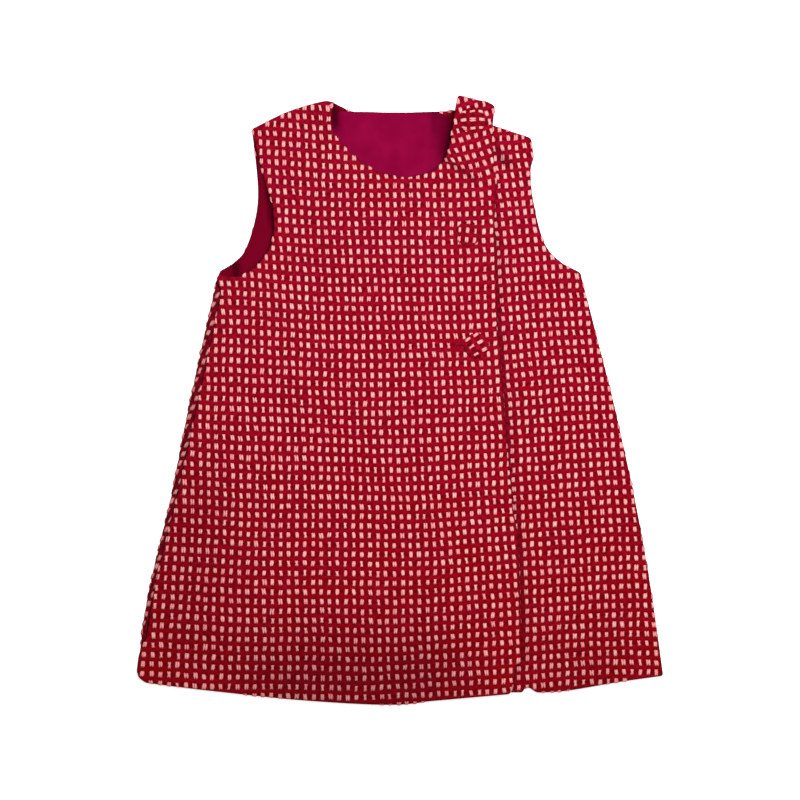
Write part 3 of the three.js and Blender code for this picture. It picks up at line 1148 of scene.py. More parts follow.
@dataclass(frozen=True)
class SideRoll:
    """How the back's cloth rolls round the right side edge, on to the front, down to the side seam."""

    radius: float = 2.0
    strip: Pair = (2.0, 4.4)
    narrowing: Pair = (-120.0, 10.0)
    top: Pair = (84.0, 98.0)
    foot: Pair = (-206.0, -186.0)
    side_x: float = -140.0
    side_top: float = 99.0
    clearance: float = 0.2

    def width(self, y: Array) -> Array:
        """Width of the strip on top, which narrows to the hem."""
        return self.strip[0] + (self.strip[1] - self.strip[0]) * rise(y, *self.narrowing)

    def window(self, y: Array) -> Array:
        """1 where the edge is fully rolled, falling smoothly to 0 at both ends."""
        return rise(y, *self.foot) * rise(-y, -self.top[1], -self.top[0])

    def on_side(self, points: Array) -> Array:
        """Which outline points are on the right side edge."""
        return (points[:, 0] < self.side_x) & (points[:, 1] < self.side_top)

    def spread(self, points: Array) -> Array:
        """Sideways shift of the back's flat outline, which unrolls the strip."""
        wide = (math.pi - 1) * self.radius + self.width(points[:, 1])
        return np.where(self.on_side(points), -wide * self.window(points[:, 1]), 0.0)

    def seam_inset(self, points: Array) -> Array:
        """Sideways shift of the front's outline, from the edge in to the seam."""
        inset = self.radius + self.width(points[:, 1]) + self.clearance
        return np.where(self.on_side(points), inset * self.window(points[:, 1]), 0.0)


ROLL = SideRoll()


@dataclass
class BackPanel(Panel):
    """The back. Its outer face is below, and its right side edge rolls up on to the front."""

    fold: Array | None = None
    # Painted shade on the rolled strip, which faces sideways, away from the light.
    strip_painted_shade: float = 0.45
    strip_from: Pair = (100.0, 110.0)
    strip_height: Pair = (0.4, 1.9)
    upper_height: Pair = (0.4, 1.6)
    ease: int = 4

    def cut(self, outline: Outline) -> Outline:
        """Unrolls the strip, and keeps the folded edge's line."""
        side = outline.points[ROLL.on_side(outline.points)]
        self.fold = side[np.argsort(side[:, 1])]
        return outline.shifted(ROLL.spread(outline.points))

    def painted_shade_at(self, x: Array, y: Array, z: Array) -> Array:
        """Painted shade of the creases on the upper face, and of the rolled strip, which faces sideways.
        """
        strip = self.strip_painted_shade * ROLL.window(y) * (y < ROLL.top[1])
        strip = strip * rise(-x, *self.strip_from) * rise(z, *self.strip_height)
        upper = super().painted_shade_at(x, y, z) * rise(z, *self.upper_height)
        return 1 - (1 - upper) * (1 - strip)

    def place(self, x: Array, y: Array, depth: Array, inset: Array) -> Array:
        """Flat on z = 0, and round a half circle at the rolled edge, then back inward on top of it.

        Args:
            x: flat positions.
            y: flat positions.
            depth: depth below the outer face, which is upward here.
            inset: distance inside the outline, not used.

        Returns:
            (..., 3) positions in millimetres.
        """
        flat = np.stack([x, y, depth + 0 * x], axis=-1)
        fold = np.interp(y, self.fold[:, 1], self.fold[:, 0])
        past = fold + ROLL.radius - x
        angle = np.clip(past / ROLL.radius, 0, math.pi)
        back = np.maximum(past - math.pi * ROLL.radius, 0)
        arm = ROLL.radius - depth
        bent_x = fold + ROLL.radius - arm * np.sin(angle) + back
        bent = np.stack([bent_x, y, ROLL.radius - arm * np.cos(angle)], axis=-1)
        share = (1 - (1 - ROLL.window(y)) ** self.ease) * (past > 0)
        return flat + (bent - flat) * share[..., None]


@dataclass
class BackLining(Panel):
    """The back lining, which shows at the neck and in the right armhole."""

    reach: float = 0.7
    reach_above: float = 95.0
    neck_corner: Mound = Mound((-48, 228), (6, 6), 3.0)

    def cut(self, outline: Outline) -> Outline:
        """Reaches nearly to the back's edges at the armhole and the neck, most at the neck's corner."""
        x, y = outline.points.T
        reach = (self.reach + self.neck_corner.at(x, y)) * (y > self.reach_above)
        return Outline(outline.points + reach[:, None] * outline.normals())

    def floor(self, x: Array, y: Array) -> Array:
        """Just above the back, with its soft creases."""
        return LAYERS.cloth + LAYERS.gap + relief(self.creases, x, y)


# ---- Pips ----------------------------------------------------------------------------------------


@dataclass(frozen=True)
class Pips:
    """Raised floats of pale yarn: each pip is two plump strands, side by side, pinched or crossed."""

    half_length: float = 2.3
    half_gap: float = 0.7
    half_width: float = 1.14
    plump: float = 0.6
    root: float = 0.12
    rings: int = 5
    sides: int = 4
    seed: int = 7
    crossed_share: float = 0.22
    crossed_reach: float = 0.8
    lift_over: float = 0.16
    pointed: float = 0.78
    blunt: float = 0.4
    gap_range: Pair = (0.85, 1.15)
    apart_range: Pair = (0.6, 1.0)
    pinch_range: Pair = (-0.2, 0.45)
    lean_range: Pair = (-0.35, 0.35)
    width_range: Pair = (0.88, 1.1)
    height_range: Pair = (0.85, 1.15)
    length_range: Pair = (0.86, 1.1)
    tone: Pair = (0.6, 0.25)
    # Painted shade: pips turn to the darker pink, down the cloth toward the hem.
    painted_hem_shade: float = 0.35
    painted_hem_shade_rows: Pair = (60.0, 260.0)
    map_margin: float = 0.1

    def strands(self, count: int, rng: np.random.Generator) -> tuple[Array, Array, Array]:
        """Local shapes of many pips at once.

        A strand's middle lies at side * gap * (b + c u^2) + lean u, or at side * gap * u where the two
        cross, with u from -1 to 1 along it. Its section is an ellipse that shrinks to the ends.

        Args:
            count: number of pips.
            rng: seeded source of the small differences between pips.

        Returns:
            Arrays (count, 2, rings, sides) of the distance across, down, and above the ground.
        """
        u = np.linspace(-1, 1, self.rings)[None, None, :, None]
        turn = (np.arange(self.sides) * 2 * math.pi / self.sides)[None, None, None, :]
        side = np.array([-1.0, 1.0])[None, :, None, None]

        def vary(limits: Pair) -> Array:
            """One random number a pip, between two limits."""
            return rng.uniform(*limits, count)[:, None, None, None]

        crossed = (rng.random(count) < self.crossed_share)[:, None, None, None]
        gap = self.half_gap * vary(self.gap_range)
        plain = side * gap * (vary(self.apart_range) + vary(self.pinch_range) * u**2)
        crossing = side * gap * self.crossed_reach * u
        middle = np.where(crossed, crossing, plain) + vary(self.lean_range) * u
        taper = np.sqrt(1 - self.pointed * u**2)
        width = self.half_width * vary(self.width_range) * (self.blunt + (1 - self.blunt) * taper)
        height = self.plump * vary(self.height_range) * taper
        over = self.lift_over * (side > 0) * (1 - u**2)
        across = middle + width * np.cos(turn)
        down = self.half_length * vary(self.length_range) * u + 0 * across
        above = self.root + over + height * np.sin(turn) + 0 * across
        return across, down, above

    def faces(self, count: int) -> Array:
        """Quads of all the strands: bands round each strand and a cap on each end."""
        ring = np.arange(self.sides)
        caps = np.stack([ring, (self.rings - 1) * self.sides + ring[::-1]])
        one = np.vstack([bands(self.rings, self.sides), caps])
        stride = self.rings * self.sides
        return (np.arange(2 * count)[:, None, None] * stride + one[None]).reshape(-1, self.sides)

    def bake_map(self, count: int) -> Array:
        """A small square of the map for each strand, (vertices, 2).

        Args:
            count: number of pips.

        Returns:
            (vertices, 2) positions in the map.
        """
        strands = 2 * count
        per_row = math.ceil(math.sqrt(strands))
        index = np.arange(strands)
        corner = np.stack([index % per_row, index // per_row], axis=1)[:, None, None, :]
        inner = 1 - 2 * self.map_margin
        u = self.map_margin + inner * np.arange(self.sides)[None, None, :] / (self.sides - 1)
        v = self.map_margin + inner * np.linspace(0, 1, self.rings)[None, :, None]
        local = np.stack(np.broadcast_arrays(u, v), axis=-1)
        return ((corner + local) / per_row).reshape(-1, 2)

    def build(
        self,
        name: str,
        centres: tuple[Array, Array],
        put: Callable[[Array, Array, Array], Array],
        outer_up: bool = True,
    ) -> Piece:
        """Builds all the pips of a piece as one joined mesh.

        Args:
            name: the new piece's name.
            centres: cloth positions (s, t) of the pips.
            put: gives positions in space, in millimetres, for arrays of s, t and height.
            outer_up: False where the mapping turns the faces inside out.

        Returns:
            The joined mesh.
        """
        rng = np.random.default_rng(self.seed)
        s, t = centres
        count = len(s)
        across, down, above = self.strands(count, rng)
        places = put(s[:, None, None, None] + across, t[:, None, None, None] + down, above)
        faces = self.faces(count)
        piece = make_mesh(name, places.reshape(-1, 3), [faces if outer_up else faces[:, ::-1]])
        # Tone differs at random from pip to pip; less of it toward the hem is painted shade.
        tone = rng.normal(*self.tone, count) - self.painted_hem_shade * rise(t, *self.painted_hem_shade_rows)
        tone = np.clip(tone, 0, 1)[:, None, None, None]
        add_value(piece, "tone", (tone + 0 * above).ravel())
        add_value(piece, "crown", np.clip(above / (self.root + self.plump), 0, 1).ravel())
        add_map(piece, "OFBake", self.bake_map(count))
        return piece


@dataclass
class PanelPips:
    """The pips of one panel, wrapped round its rim where the cloth turns over."""

    panel: Panel
    pips: Pips
    reach: float = 0.6
    hidden_after: float | None = None
    slots: list[Array] = field(default_factory=list)
    clear_of_slots: float = 1.6
    seed_step: int = 100
    stray: Pair = (0.22, 0.26)
    neck_middle: float = -6.0
    neck_half: float = 50.0
    neck_above: float = 225.0
    seen_inside: float = 34.0
    turned_reach: float = 1.2
    neck_inset: float = 1.5
    near_rim: float = 4.0

    def centres(self) -> tuple[Array, Array]:
        """Cloth positions of the pips on the panel: grid points, each a little off its place.

        Returns:
            Arrays of s and t, of the pips that show.
        """
        grain, outline = self.panel.grain, self.panel.outline
        s, t = grain.cloth(outline.points[:, 0], outline.points[:, 1])
        ps, pt = grain.pitch
        i = np.arange(math.floor(s.min() / ps), math.ceil(s.max() / ps) + 1)
        j = np.arange(math.floor(t.min() / pt), math.ceil(t.max() / pt) + 1)
        gi, gj = (g.ravel().astype(float) for g in np.meshgrid(i, j))
        rng = np.random.default_rng(self.pips.seed + self.seed_step)
        cs = gi * ps + rng.normal(0, self.stray[0], len(gi))
        ct = gj * pt + rng.normal(0, self.stray[1], len(gj))
        x, y = grain.plane(cs, ct)
        inset, foot, _ = outline.nearest(x, y)
        keep = inset > self.least_inset(foot)
        keep &= self.shown(x, y)
        for slot in self.slots:
            keep &= WorkedButtonhole.distance(slot, x, y) > self.clear_of_slots
        return cs[keep], ct[keep]

    def least_inset(self, foot: Array) -> Array:
        """Least distance inside the flat outline at which a pip shows; below 0 it lies outside.

        Beside the middle of the back neck the cloth's turned edge shows from inside, so the pips there
        go right round the rim. In the middle of the neck they stop short of it.

        Args:
            foot: (n, 2) nearest points of the outline.

        Returns:
            The least distance for each.
        """
        plain = -(math.pi / 2 - 1) * self.panel.rim / 2 - self.reach
        turned_in = -(math.pi - 1) * self.panel.rim / 2 - self.turned_reach
        off_middle = np.abs(foot[:, 0] - self.neck_middle)
        at_neck = (off_middle < self.neck_half) & (foot[:, 1] > self.neck_above)
        at_neck &= not self.panel.outer_up
        neck = np.where(off_middle > self.seen_inside, turned_in, self.neck_inset)
        return np.where(at_neck, neck, plain)

    def shown(self, x: Array, y: Array) -> Array:
        """Leaves out the pips that lie deep below another panel."""
        if self.hidden_after is None:
            return np.ones(len(x), bool)
        edge = MAIN_CLOSING.x_at(y)
        return x > edge - self.hidden_after

    def put(self, s: Array, t: Array, height: Array) -> Array:
        """Position in space of cloth positions at a height above the outer face.

        Args:
            s: (count, 2, rings, sides) cloth positions, across.
            t: the same, down.
            height: the same, above the outer face.

        Returns:
            (count, 2, rings, sides, 3) positions. Pips near the rim follow its half circle.
        """
        panel, radius = self.panel, self.panel.rim / 2
        shape = s.shape
        x, y = panel.grain.plane(s, t)
        inset = panel.outline.nearest(x.mean(axis=(1, 2, 3)), y.mean(axis=(1, 2, 3)))[0]
        near = inset < radius + self.near_rim
        depth = -height
        insets = np.broadcast_to(inset[:, None, None, None], shape).copy()
        fx, fy = x[near].ravel(), y[near].ravel()
        edge_inset, foot, out = panel.outline.nearest(fx, fy)
        past = radius - edge_inset
        outward, rim_depth = panel.rolled(past, height[near].ravel())
        wrapped = past > 0
        turned = foot - out * radius + out * outward[:, None]
        sub = x[near].shape
        x[near] = np.where(wrapped, turned[:, 0], fx).reshape(sub)
        y[near] = np.where(wrapped, turned[:, 1], fy).reshape(sub)
        depth[near] = np.where(wrapped, rim_depth, -height[near].ravel()).reshape(sub)
        insets[near] = np.maximum(edge_inset, 0).reshape(sub)
        return panel.place(x, y, depth, insets)

    def build(self) -> Piece:
        """Builds the joined pips.

        Returns:
            The joined mesh, with the value that paints shade on it.
        """
        name = f"{self.panel.name}_pips"
        piece = self.pips.build(name, self.centres(), self.put, self.panel.outer_up)
        places = np.empty(len(piece.data.vertices) * 3, np.float32)
        piece.data.vertices.foreach_get("co", places)
        # Painted shade, as on the panel under the pips.
        add_value(piece, "hollow", self.panel.painted_shade_at(*(places.reshape(-1, 3).T / MM)))
        return piece


@dataclass(frozen=True)
class ClosingLine:
    """The main front's closing edge, read from its outline as x against y."""

    x: Array
    y: Array

    @classmethod
    def of_node(cls, node: str, beyond: float = 70.0) -> "ClosingLine":
        """Reads the edge: the outline's points with x beyond a value, on the wearer's left."""
        points = Outline.of_node(node).points
        edge = points[points[:, 0] > beyond]
        edge = edge[np.argsort(edge[:, 1])]
        return cls(edge[:, 0], edge[:, 1])

    def x_at(self, y: Array) -> Array:
        """x of the edge at y."""
        return np.interp(y, self.y, self.x)


MAIN_CLOSING = ClosingLine.of_node("front_panel")


# ---- Covered buttons and buttonholes -------------------------------------------------------------


@dataclass
class CoveredButton:
    """A domed button covered in the pip cloth, with gathers under its rim and a shank."""

    node: str
    turned: float
    grid_offset: Pair
    pitch: Pair
    shank_radius: float = 1.1
    edge_radius: float = 1.1
    cap_rise: float = 3.6
    cap_share: float = 0.97
    steps: tuple[int, int, int] = (14, 9, 5)
    lift: float = 0.1
    spokes: int = 56
    gathers: int = 16
    gather_band: Pair = (2.0, 5.0)
    gather_depth: float = 0.05
    gather_height: float = 0.25
    pips_past_cap: int = 5
    pip_half_length: float = 2.5
    pip_half_width: float = 1.05
    pip_seed: int = 11

    def __post_init__(self) -> None:
        """Reads the button's place and size from the frame."""
        low, high = (np.array(p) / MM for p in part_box(self.node))
        self.middle = (low + high) / 2
        self.radius = (high[0] - low[0]) / 2
        self.top = high[2]
        self.low = low[2]
        self.profile = self.make_profile()

    def make_profile(self) -> tuple[Array, Array, Array, Array]:
        """Half section from the crown to under the rim.

        A shallow ball cap runs into a small circle that turns under, and the cloth then runs inward.

        Returns:
            Length along the section, radius, height, and the angle that the surface faces, 0 up.
        """
        on_cap, on_turn, inward = self.steps
        base = self.radius - self.edge_radius
        ball = (base**2 + self.cap_rise**2) / (2 * self.cap_rise)
        steep = math.asin(base / ball)
        cap = np.linspace(0, steep * self.cap_share, on_cap)
        r_cap, z_cap = ball * np.sin(cap), self.top - ball * (1 - np.cos(cap))
        centre_z = z_cap[-1] - self.edge_radius * math.cos(cap[-1])
        turn = np.linspace(steep, math.pi, on_turn)
        r_turn = base + self.edge_radius * np.sin(turn)
        z_turn = centre_z + self.edge_radius * np.cos(turn)
        r_in = np.append(np.linspace(base, self.shank_radius, inward)[1:], self.shank_radius)
        z_in = np.append(np.full(inward - 1, z_turn[-1] + self.lift), self.low + self.lift)
        radius = np.concatenate([r_cap, r_turn, r_in])
        height = np.concatenate([z_cap, z_turn, z_in])
        facing = np.concatenate([cap, turn, np.full(inward, math.pi)])
        length = np.concatenate([[0], np.cumsum(np.hypot(np.diff(radius), np.diff(height)))])
        return length, radius, height, facing

    def mirrored(self, a: Array, b: Array) -> tuple[Array, Array]:
        """Plan offset of a cloth position, or the other way: the turned mirror image undoes itself."""
        turn = math.radians(self.turned)
        return a * math.cos(turn) + b * math.sin(turn), a * math.sin(turn) - b * math.cos(turn)

    def put(self, s: Array, t: Array, above: Array) -> Array:
        """Wraps flat cloth over the dome: the distance from the crown runs along the section.

        Args:
            s: cloth positions across.
            t: cloth positions down.
            above: heights above the cloth.

        Returns:
            (..., 3) positions in millimetres.
        """
        length, radius, height, facing = self.profile
        x, y = self.mirrored(s, t)
        far, angle = np.hypot(x, y), np.arctan2(y, x)
        lean = np.interp(far, length, facing)
        r = np.interp(far, length, radius) + above * np.sin(lean)
        z = np.interp(far, length, height) + above * np.cos(lean)
        x, y = self.middle[0] + r * np.cos(angle), self.middle[1] + r * np.sin(angle)
        return np.stack([x, y, z], axis=-1)

    def carried_round(self, angle: Array) -> Array:
        """The section past its crown, carried round with the gathers, as (rings * spokes, 3).

        Args:
            angle: directions of the spokes, in radians.

        Returns:
            (rings * spokes, 3) positions.
        """
        _, radius, height, facing = self.profile
        under = rise(facing[1:], math.pi / 2, math.pi) * rise(radius[1:], *self.gather_band)
        wave = under[:, None] * np.cos(self.gathers * angle)
        r = radius[1:, None] * (1 + self.gather_depth * wave)
        x = self.middle[0] + r * np.cos(angle)
        y = self.middle[1] + r * np.sin(angle)
        z = height[1:, None] + self.gather_height * wave
        return np.stack([x, y, z], axis=-1).reshape(-1, 3)

    def cover(self) -> Piece:
        """The cloth cover: rings down the section, closed by a fan of triangles at both ends.

        Returns:
            The new piece, with its weave's map turned as the button is.
        """
        length, _, height, _ = self.profile
        angle = np.arange(self.spokes) * 2 * math.pi / self.spokes
        rows = len(length) - 1
        crown, base = ([[*self.middle[:2], height[k]]] for k in (0, -1))
        places = np.vstack([crown, self.carried_round(angle), base])
        spoke = 1 + np.arange(self.spokes)
        after, last = np.roll(spoke, -1), (rows - 1) * self.spokes
        top = np.stack([np.zeros_like(spoke), spoke, after], axis=1)
        bottom = np.stack([np.full_like(spoke, len(places) - 1), last + after, last + spoke], axis=1)
        piece = make_mesh(f"{self.node}_cover", places, [1 + bands(rows, self.spokes), top, bottom])
        far = np.concatenate([[0], np.repeat(length[1:], self.spokes), [length[-1]]])
        around = np.concatenate([[0], np.tile(angle, rows), [0]])
        s, t = self.mirrored(far * np.cos(around), far * np.sin(around))
        grid = np.stack([s / self.pitch[0], -t / self.pitch[1]], axis=1)
        add_map(piece, "grain", grid - np.array(self.grid_offset))
        return piece

    def pips(self) -> Piece:
        """The pips on the cover, out to just under its rim.

        Returns:
            The joined mesh.
        """
        i, j = (g.ravel().astype(float) for g in np.meshgrid(np.arange(-3, 4), np.arange(-3, 4)))
        s = (i + self.grid_offset[0]) * self.pitch[0]
        t = (j - self.grid_offset[1]) * self.pitch[1]
        length = self.profile[0]
        keep = np.hypot(s, t) < length[self.steps[0] + self.pips_past_cap]
        seed = self.pip_seed + abs(int(self.turned))
        pips = Pips(self.pip_half_length, half_width=self.pip_half_width, seed=seed)
        return pips.build(f"{self.node}_pips", (s[keep], t[keep]), self.put, True)


@dataclass
class WorkedButtonhole:
    """A hand-worked buttonhole: close stitches over both lips of the slit and a fan at each end."""

    name: str
    slot_points: Array
    surface: Panel
    stitch: float = 1.7
    stitch_range: Pair = (0.86, 1.12)
    thread: float = 0.27
    spacing: float = 0.62
    lip: float = 0.35
    arch: float = 0.42
    arch_from: float = 0.15
    lift: float = 0.1
    end_thickness: float = 0.7
    sides: int = 5
    rings: int = 6
    seed: int = 5
    inset: float = 60.0

    @staticmethod
    def distance(slot: Array, x: Array, y: Array) -> Array:
        """Distance from the line along the middle of a slot."""
        low, high = slot.min(axis=0), slot.max(axis=0)
        inner = min(high - low) / 2
        dx = np.maximum(np.maximum(low[0] + inner - x, x - high[0] + inner), 0)
        dy = np.maximum(np.maximum(low[1] + inner - y, y - high[1] + inner), 0)
        return np.hypot(dx, dy)

    def feet(self, half: float) -> tuple[Array, Array]:
        """Where the stitches start: along one side of the slit, round its end, back and round again.

        Args:
            half: half the length of a straight side.

        Returns:
            Place along the slit and outward angle of each stitch.
        """
        straight, bend = 2 * half, math.pi * self.lip
        at = np.arange(0, 2 * (straight + bend), self.spacing)
        past = [at < straight, at < straight + bend, at < 2 * straight + bend]
        first, second = (at - straight) / self.lip, (at - 2 * straight - bend) / self.lip
        up = math.pi / 2
        angle = np.select(past, [up + 0 * at, up - first, -up + 0 * at], -up - second)
        place = np.select(past, [at - half, half + 0 * at, half - (at - straight - bend)], -half)
        return place, angle

    def build(self) -> Piece:
        """Lays bent tubes across the slit's edge, one beside the other all round it.

        Returns:
            The new piece.
        """
        size = np.ptp(self.slot_points, axis=0)
        place, angle = (a[:, None, None] for a in self.feet(max(size) / 2 - min(size) / 2))
        u = np.linspace(0, 1, self.rings)[None, :, None]
        turn = (np.arange(self.sides) * 2 * math.pi / self.sides)[None, None, :]
        rng = np.random.default_rng(self.seed)
        reach = self.stitch * rng.uniform(*self.stitch_range, len(place))[:, None, None]
        radial = self.lip + reach * u
        along = self.arch_from + (1 - self.arch_from) * u
        arch = self.arch * np.sin(math.pi * along) + self.lift
        swell = (1 - self.end_thickness) * np.sin(math.pi * u)
        tube = self.thread * (self.end_thickness + swell)
        side = tube * np.cos(turn)
        x = place + np.cos(angle) * radial - np.sin(angle) * side
        y = np.sin(angle) * radial + np.cos(angle) * side
        if size[1] > size[0]:
            x, y = -y, x
        middle = self.slot_points.mean(axis=0)
        x, y = x + middle[0], y + middle[1]
        ground = self.surface.place(x, y, 0 * x, np.full(x.shape, self.inset))
        z = ground[..., 2] + arch + tube * np.sin(turn)
        ring, stride = np.arange(self.sides), self.rings * self.sides
        starts = (np.arange(len(place)) * stride)[:, None]
        caps = np.concatenate([starts + ring[::-1], starts + stride - self.sides + ring])
        quads = starts[:, None] + bands(self.rings, self.sides)[:, [0, 3, 2, 1]]
        places = np.stack([x, y, z], axis=-1).reshape(-1, 3)
        return make_mesh(self.name, places, [quads.reshape(-1, 4), caps])


# ---- Assembly ------------------------------------------------------------------------------------


@dataclass
class Pinafore:
    """The whole dress: its panels, their pips, the covered buttons and the worked buttonholes."""

    wardrobe: Wardrobe
    pip_seed: int = 3
    pip_rings: int = 5
    back_pip_rings: int = 4
    hidden_after: float = 9.0

    def panels(self) -> list[Panel]:
        """The panels, from the bottom layer to the top."""
        back_grain = Grain((0.0, 20.0), lean=-0.01, bow=1.6e-4, slope=0.004, wander=0.6)
        side_grain = Grain(
            (129.2, 22.7), lean=0.076, fan=1.78e-4, bend=-1.23e-4, slope=0.055, bow=-4.7e-4, wander=0.4,
            pitch=(6.16, 7.54),
        )
        main_grain = Grain(
            (-41.2, 20.2), lean=0.038, fan=1.3e-4, bend=-6e-5, flare=6e-7, sweep=-6e-7, slope=-0.018,
            bow=2.92e-4, tip=1.2e-4, curl=6e-7, twist=14.0,
        )
        return [
            BackPanel(
                "back", "back_panel", "pip_cloth", Cloth.GROUND, back_grain,
                rim=1.8, outer_up=False, creases=NECK_POCKET_SHADE,
            ),
            BackLining(
                "lining", "back_lining", "lining_cloth", Cloth.LINING, Grain((0, 0), wander=0),
                thickness=0.7, rim=0.9, cell=2.4, rim_steps=4,
                creases=(
                    Crease((-40, 228), (-12, 186), 5.0, 0.9),
                    Crease((2, 230), (18, 188), 7.0, 0.9),
                    Crease((20, 232), (23, 196), 4.0, 2.0),
                    # Height 0: bands of painted shade beside the tab.
                    Crease((26, 240), (27, 212), 2.2, 0.0, hollow=0.35),
                    Crease((33, 250), (36, 182), 8.0, 0.0, hollow=0.45),
                    Crease((-46, 222), (-40, 200), 4.0, 1.0),
                    Crease((-111, 200), (-109, 130), 2.6, 1.2),
                    Crease((-122, 112), (-138, 101), 2.4, 1.5),
                    # Height 0: painted shade beside the front's armhole edge, and in the pocket at the
                    # armhole's foot.
                    Crease((-108, 176), (-101, 132), 2.2, 0.0, hollow=0.7),
                    Crease((-131, 112), (-131, 94), 3.4, 0.0, hollow=0.85),
                    *NECK_POCKET_SHADE,
                ),
            ),
            SideFront(
                "side_front", "side_front_panel", "pip_cloth", Cloth.GROUND, side_grain,
                creases=(
                    # A trough with painted shade in it.
                    Crease((74, 203), (90, 183), 3.4, -1.1, hollow=0.6),
                    Crease((82, 205), (98, 188), 3.4, 1.8),
                    Crease((97, 206), (101, 168), 4.0, 1.2),
                    Crease((104, 40), (120, -120), 13.0, 0.7),
                    Crease((150, -60), (172, -215), 14.0, 0.7),
                    # Height 0: painted shade toward the hem.
                    Crease((90, -226), (190, -222), 50.0, 0.0, hollow=0.16),
                ),
            ),
            MainFront(
                "main_front", "front_panel", "pip_cloth", Cloth.GROUND, main_grain,
                creases=(
                    Crease((-80, 134), (-74, -72), 8.0, 1.3),
                    # A trough with painted shade in it.
                    Crease((26, 197), (68, 171), 2.4, -0.6, hollow=0.5),
                    Crease((34, 203), (70, 184), 4.0, 2.8),
                    Crease((20, 187), (62, 163), 4.4, 2.2),
                    Crease((-138, 98), (-154, 6), 3.6, -0.9),
                    Crease((-130, 98), (-142, 20), 5.0, 0.8),
                    Crease((-128, -60), (-152, -226), 17.0, 0.8),
                    Crease((-46, -96), (-52, -236), 15.0, 0.6),
                    Crease((24, -70), (20, -232), 15.0, 0.7),
                    Crease((-100, 182), (-66, 206), 9.0, 0.5),
                    # Height 0: painted shade toward the hem, along the side edge by the hem's corner, and
                    # down the skirt's lower side, all on the wearer's right.
                    Crease((-150, -224), (80, -228), 48.0, 0.0, hollow=0.42),
                    Crease((-208, -190), (-213, -222), 3.0, 0.0, hollow=0.6),
                    Crease((-165, -20), (-165, -270), 42.0, 0.0, hollow=0.16),
                ),
            ),
        ]

    def build(self) -> None:
        """Builds and dresses every piece."""
        made: dict[str, Panel] = {}
        for panel in self.panels():
            made[panel.name] = panel
            piece = panel.shell()
            self.wardrobe.dress(piece, panel.cloth, panel.slot)
            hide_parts(panel.node)
            if panel.cloth is Cloth.GROUND:
                self.add_pips(panel)
        self.buttons()
        self.buttonholes(made["main_front"])

    def add_pips(self, panel: Panel) -> None:
        """Adds the panel's pips. The underlap goes without, and the back's have fewer rings."""
        hidden = self.hidden_after if panel.node == "side_front_panel" else None
        slots = plan_loops("front_panel")[1:] if panel.node == "front_panel" else []
        rings = self.back_pip_rings if panel.node == "back_panel" else self.pip_rings
        yarn = Pips(seed=self.pip_seed + len(panel.name), rings=rings)
        pips = PanelPips(panel, yarn, hidden_after=hidden, slots=slots).build()
        self.wardrobe.dress(pips, Cloth.PIP, panel.slot)

    def buttons(self) -> None:
        """Adds the three covered buttons, each cover turned its own way."""
        turns = {
            "button_shoulder": (92.0, (0.0, 0.0), (7.1, 7.8)),
            "button_chest": (-6.0, (-0.13, 0.33), (6.6, 7.8)),
            "button_waist": (-60.0, (-0.17, 0.5), (7.2, 8.1)),
        }
        for node, (turned, offset, pitch) in turns.items():
            button = CoveredButton(node, turned, offset, pitch)
            cover = button.cover()
            self.wardrobe.dress(cover, Cloth.GROUND, "button_cloth")
            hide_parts(node)
            self.wardrobe.dress(button.pips(), Cloth.PIP, "button_cloth")

    def buttonholes(self, front: Panel) -> None:
        """Adds the worked buttonholes round the slots in the main front's solid."""
        slots = plan_loops("front_panel")[1:]
        slots = sorted(slots, key=lambda p: -p[:, 1].mean())
        for name, slot in zip(("shoulder", "chest", "waist"), slots):
            piece = WorkedButtonhole(f"buttonhole_{name}", slot, front).build()
            self.wardrobe.dress(piece, Cloth.THREAD, "pip_cloth")


# ---- Stage ---------------------------------------------------------------------------------------


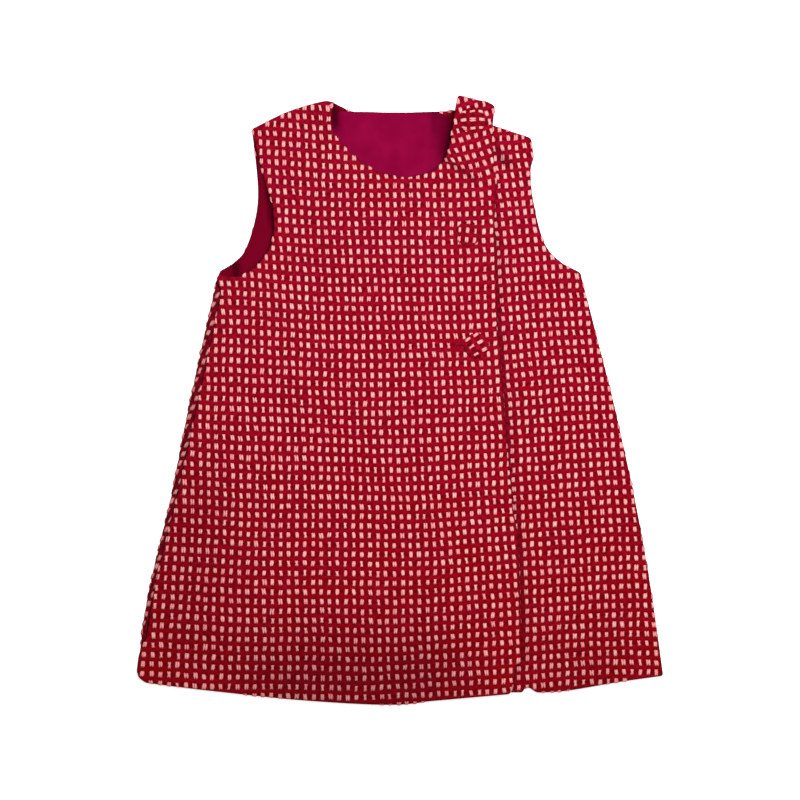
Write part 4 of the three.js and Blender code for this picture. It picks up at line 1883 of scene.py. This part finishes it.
@dataclass(frozen=True)
class Stage:
    """A plain pale floor, soft light from above and a camera that looks straight down."""

    field: float = 0.64
    height: float = 3.0
    far: float = 20.0
    sensor: float = 36.0
    key_place: Triple = (0.12, 0.17, 0.8)
    key_size: float = 0.4
    key_power: float = 9.9
    fill_place: Triple = (0.3, 0.0, 2.0)
    fill_size: float = 1.6
    fill_power: float = 2.5
    world: float = 0.2
    floor_reach: float = 3000.0
    floor_depth: float = 1.0
    floor_grey: float = 0.94
    floor_roughness: float = 0.8
    floor_glow: float = 0.75

    def build(self) -> None:
        """Builds the floor, the lights and the camera."""
        self.floor()
        self.lamp("key_light", self.key_place, self.key_size, self.key_power)
        self.lamp("fill_light", self.fill_place, self.fill_size, self.fill_power)
        world = bpy.data.worlds.new("studio")
        world.use_nodes = True
        background = world.node_tree.nodes["Background"]
        background.inputs["Color"].default_value = (1.0, 1.0, 1.0, 1.0)
        background.inputs["Strength"].default_value = self.world
        bpy.context.scene.world = world
        bpy.context.scene.view_settings.view_transform = "Standard"
        self.camera()

    def floor(self) -> None:
        """A wide pale floor just under the dress."""
        corners = np.array([[-1, -1, 0], [1, -1, 0], [1, 1, 0], [-1, 1, 0]]) * self.floor_reach
        quad = np.array([[0, 1, 2, 3]])
        floor = make_mesh("floor", corners - [0, 0, self.floor_depth], [quad], smooth=False)
        material = bpy.data.materials.new("pale_floor")
        material.use_nodes = True
        surface = material.node_tree.nodes["Principled BSDF"]
        surface.inputs["Base Color"].default_value = (*[self.floor_grey] * 3, 1.0)
        surface.inputs["Roughness"].default_value = self.floor_roughness
        surface.inputs["Emission Color"].default_value = (1.0, 1.0, 1.0, 1.0)
        surface.inputs["Emission Strength"].default_value = self.floor_glow
        floor.data.materials.append(material)

    def lamp(self, name: str, place: Triple, size: float, power: float) -> None:
        """Adds a square area light that faces the dress.

        Args:
            name: the lamp's name.
            place: where it stands, in metres.
            size: length of its side in metres.
            power: its power in watts.
        """
        data = bpy.data.lights.new(name, "AREA")
        data.energy = power
        data.size = size
        lamp = bpy.data.objects.new(name, data)
        lamp.location = place
        lamp.rotation_euler = (-Vector(place)).to_track_quat("-Z", "Y").to_euler()
        bpy.context.scene.collection.objects.link(lamp)

    def camera(self) -> None:
        """A long lens that looks straight down, with the neck at the top of its view."""
        data = bpy.data.cameras.new("camera")
        data.sensor_width = self.sensor
        data.lens = self.sensor * self.height / self.field
        data.clip_end = self.far
        camera = bpy.data.objects.new("camera", data)
        camera.location = (0.0, 0.0, self.height)
        bpy.context.scene.collection.objects.link(camera)
        bpy.context.scene.camera = camera


def main() -> None:
    """Builds the stage and the dress."""
    logging.basicConfig(level=logging.INFO, format="%(name)s: %(message)s")
    Stage().build()
    Pinafore(Wardrobe()).build()


if __name__ == "__main__":
    main()
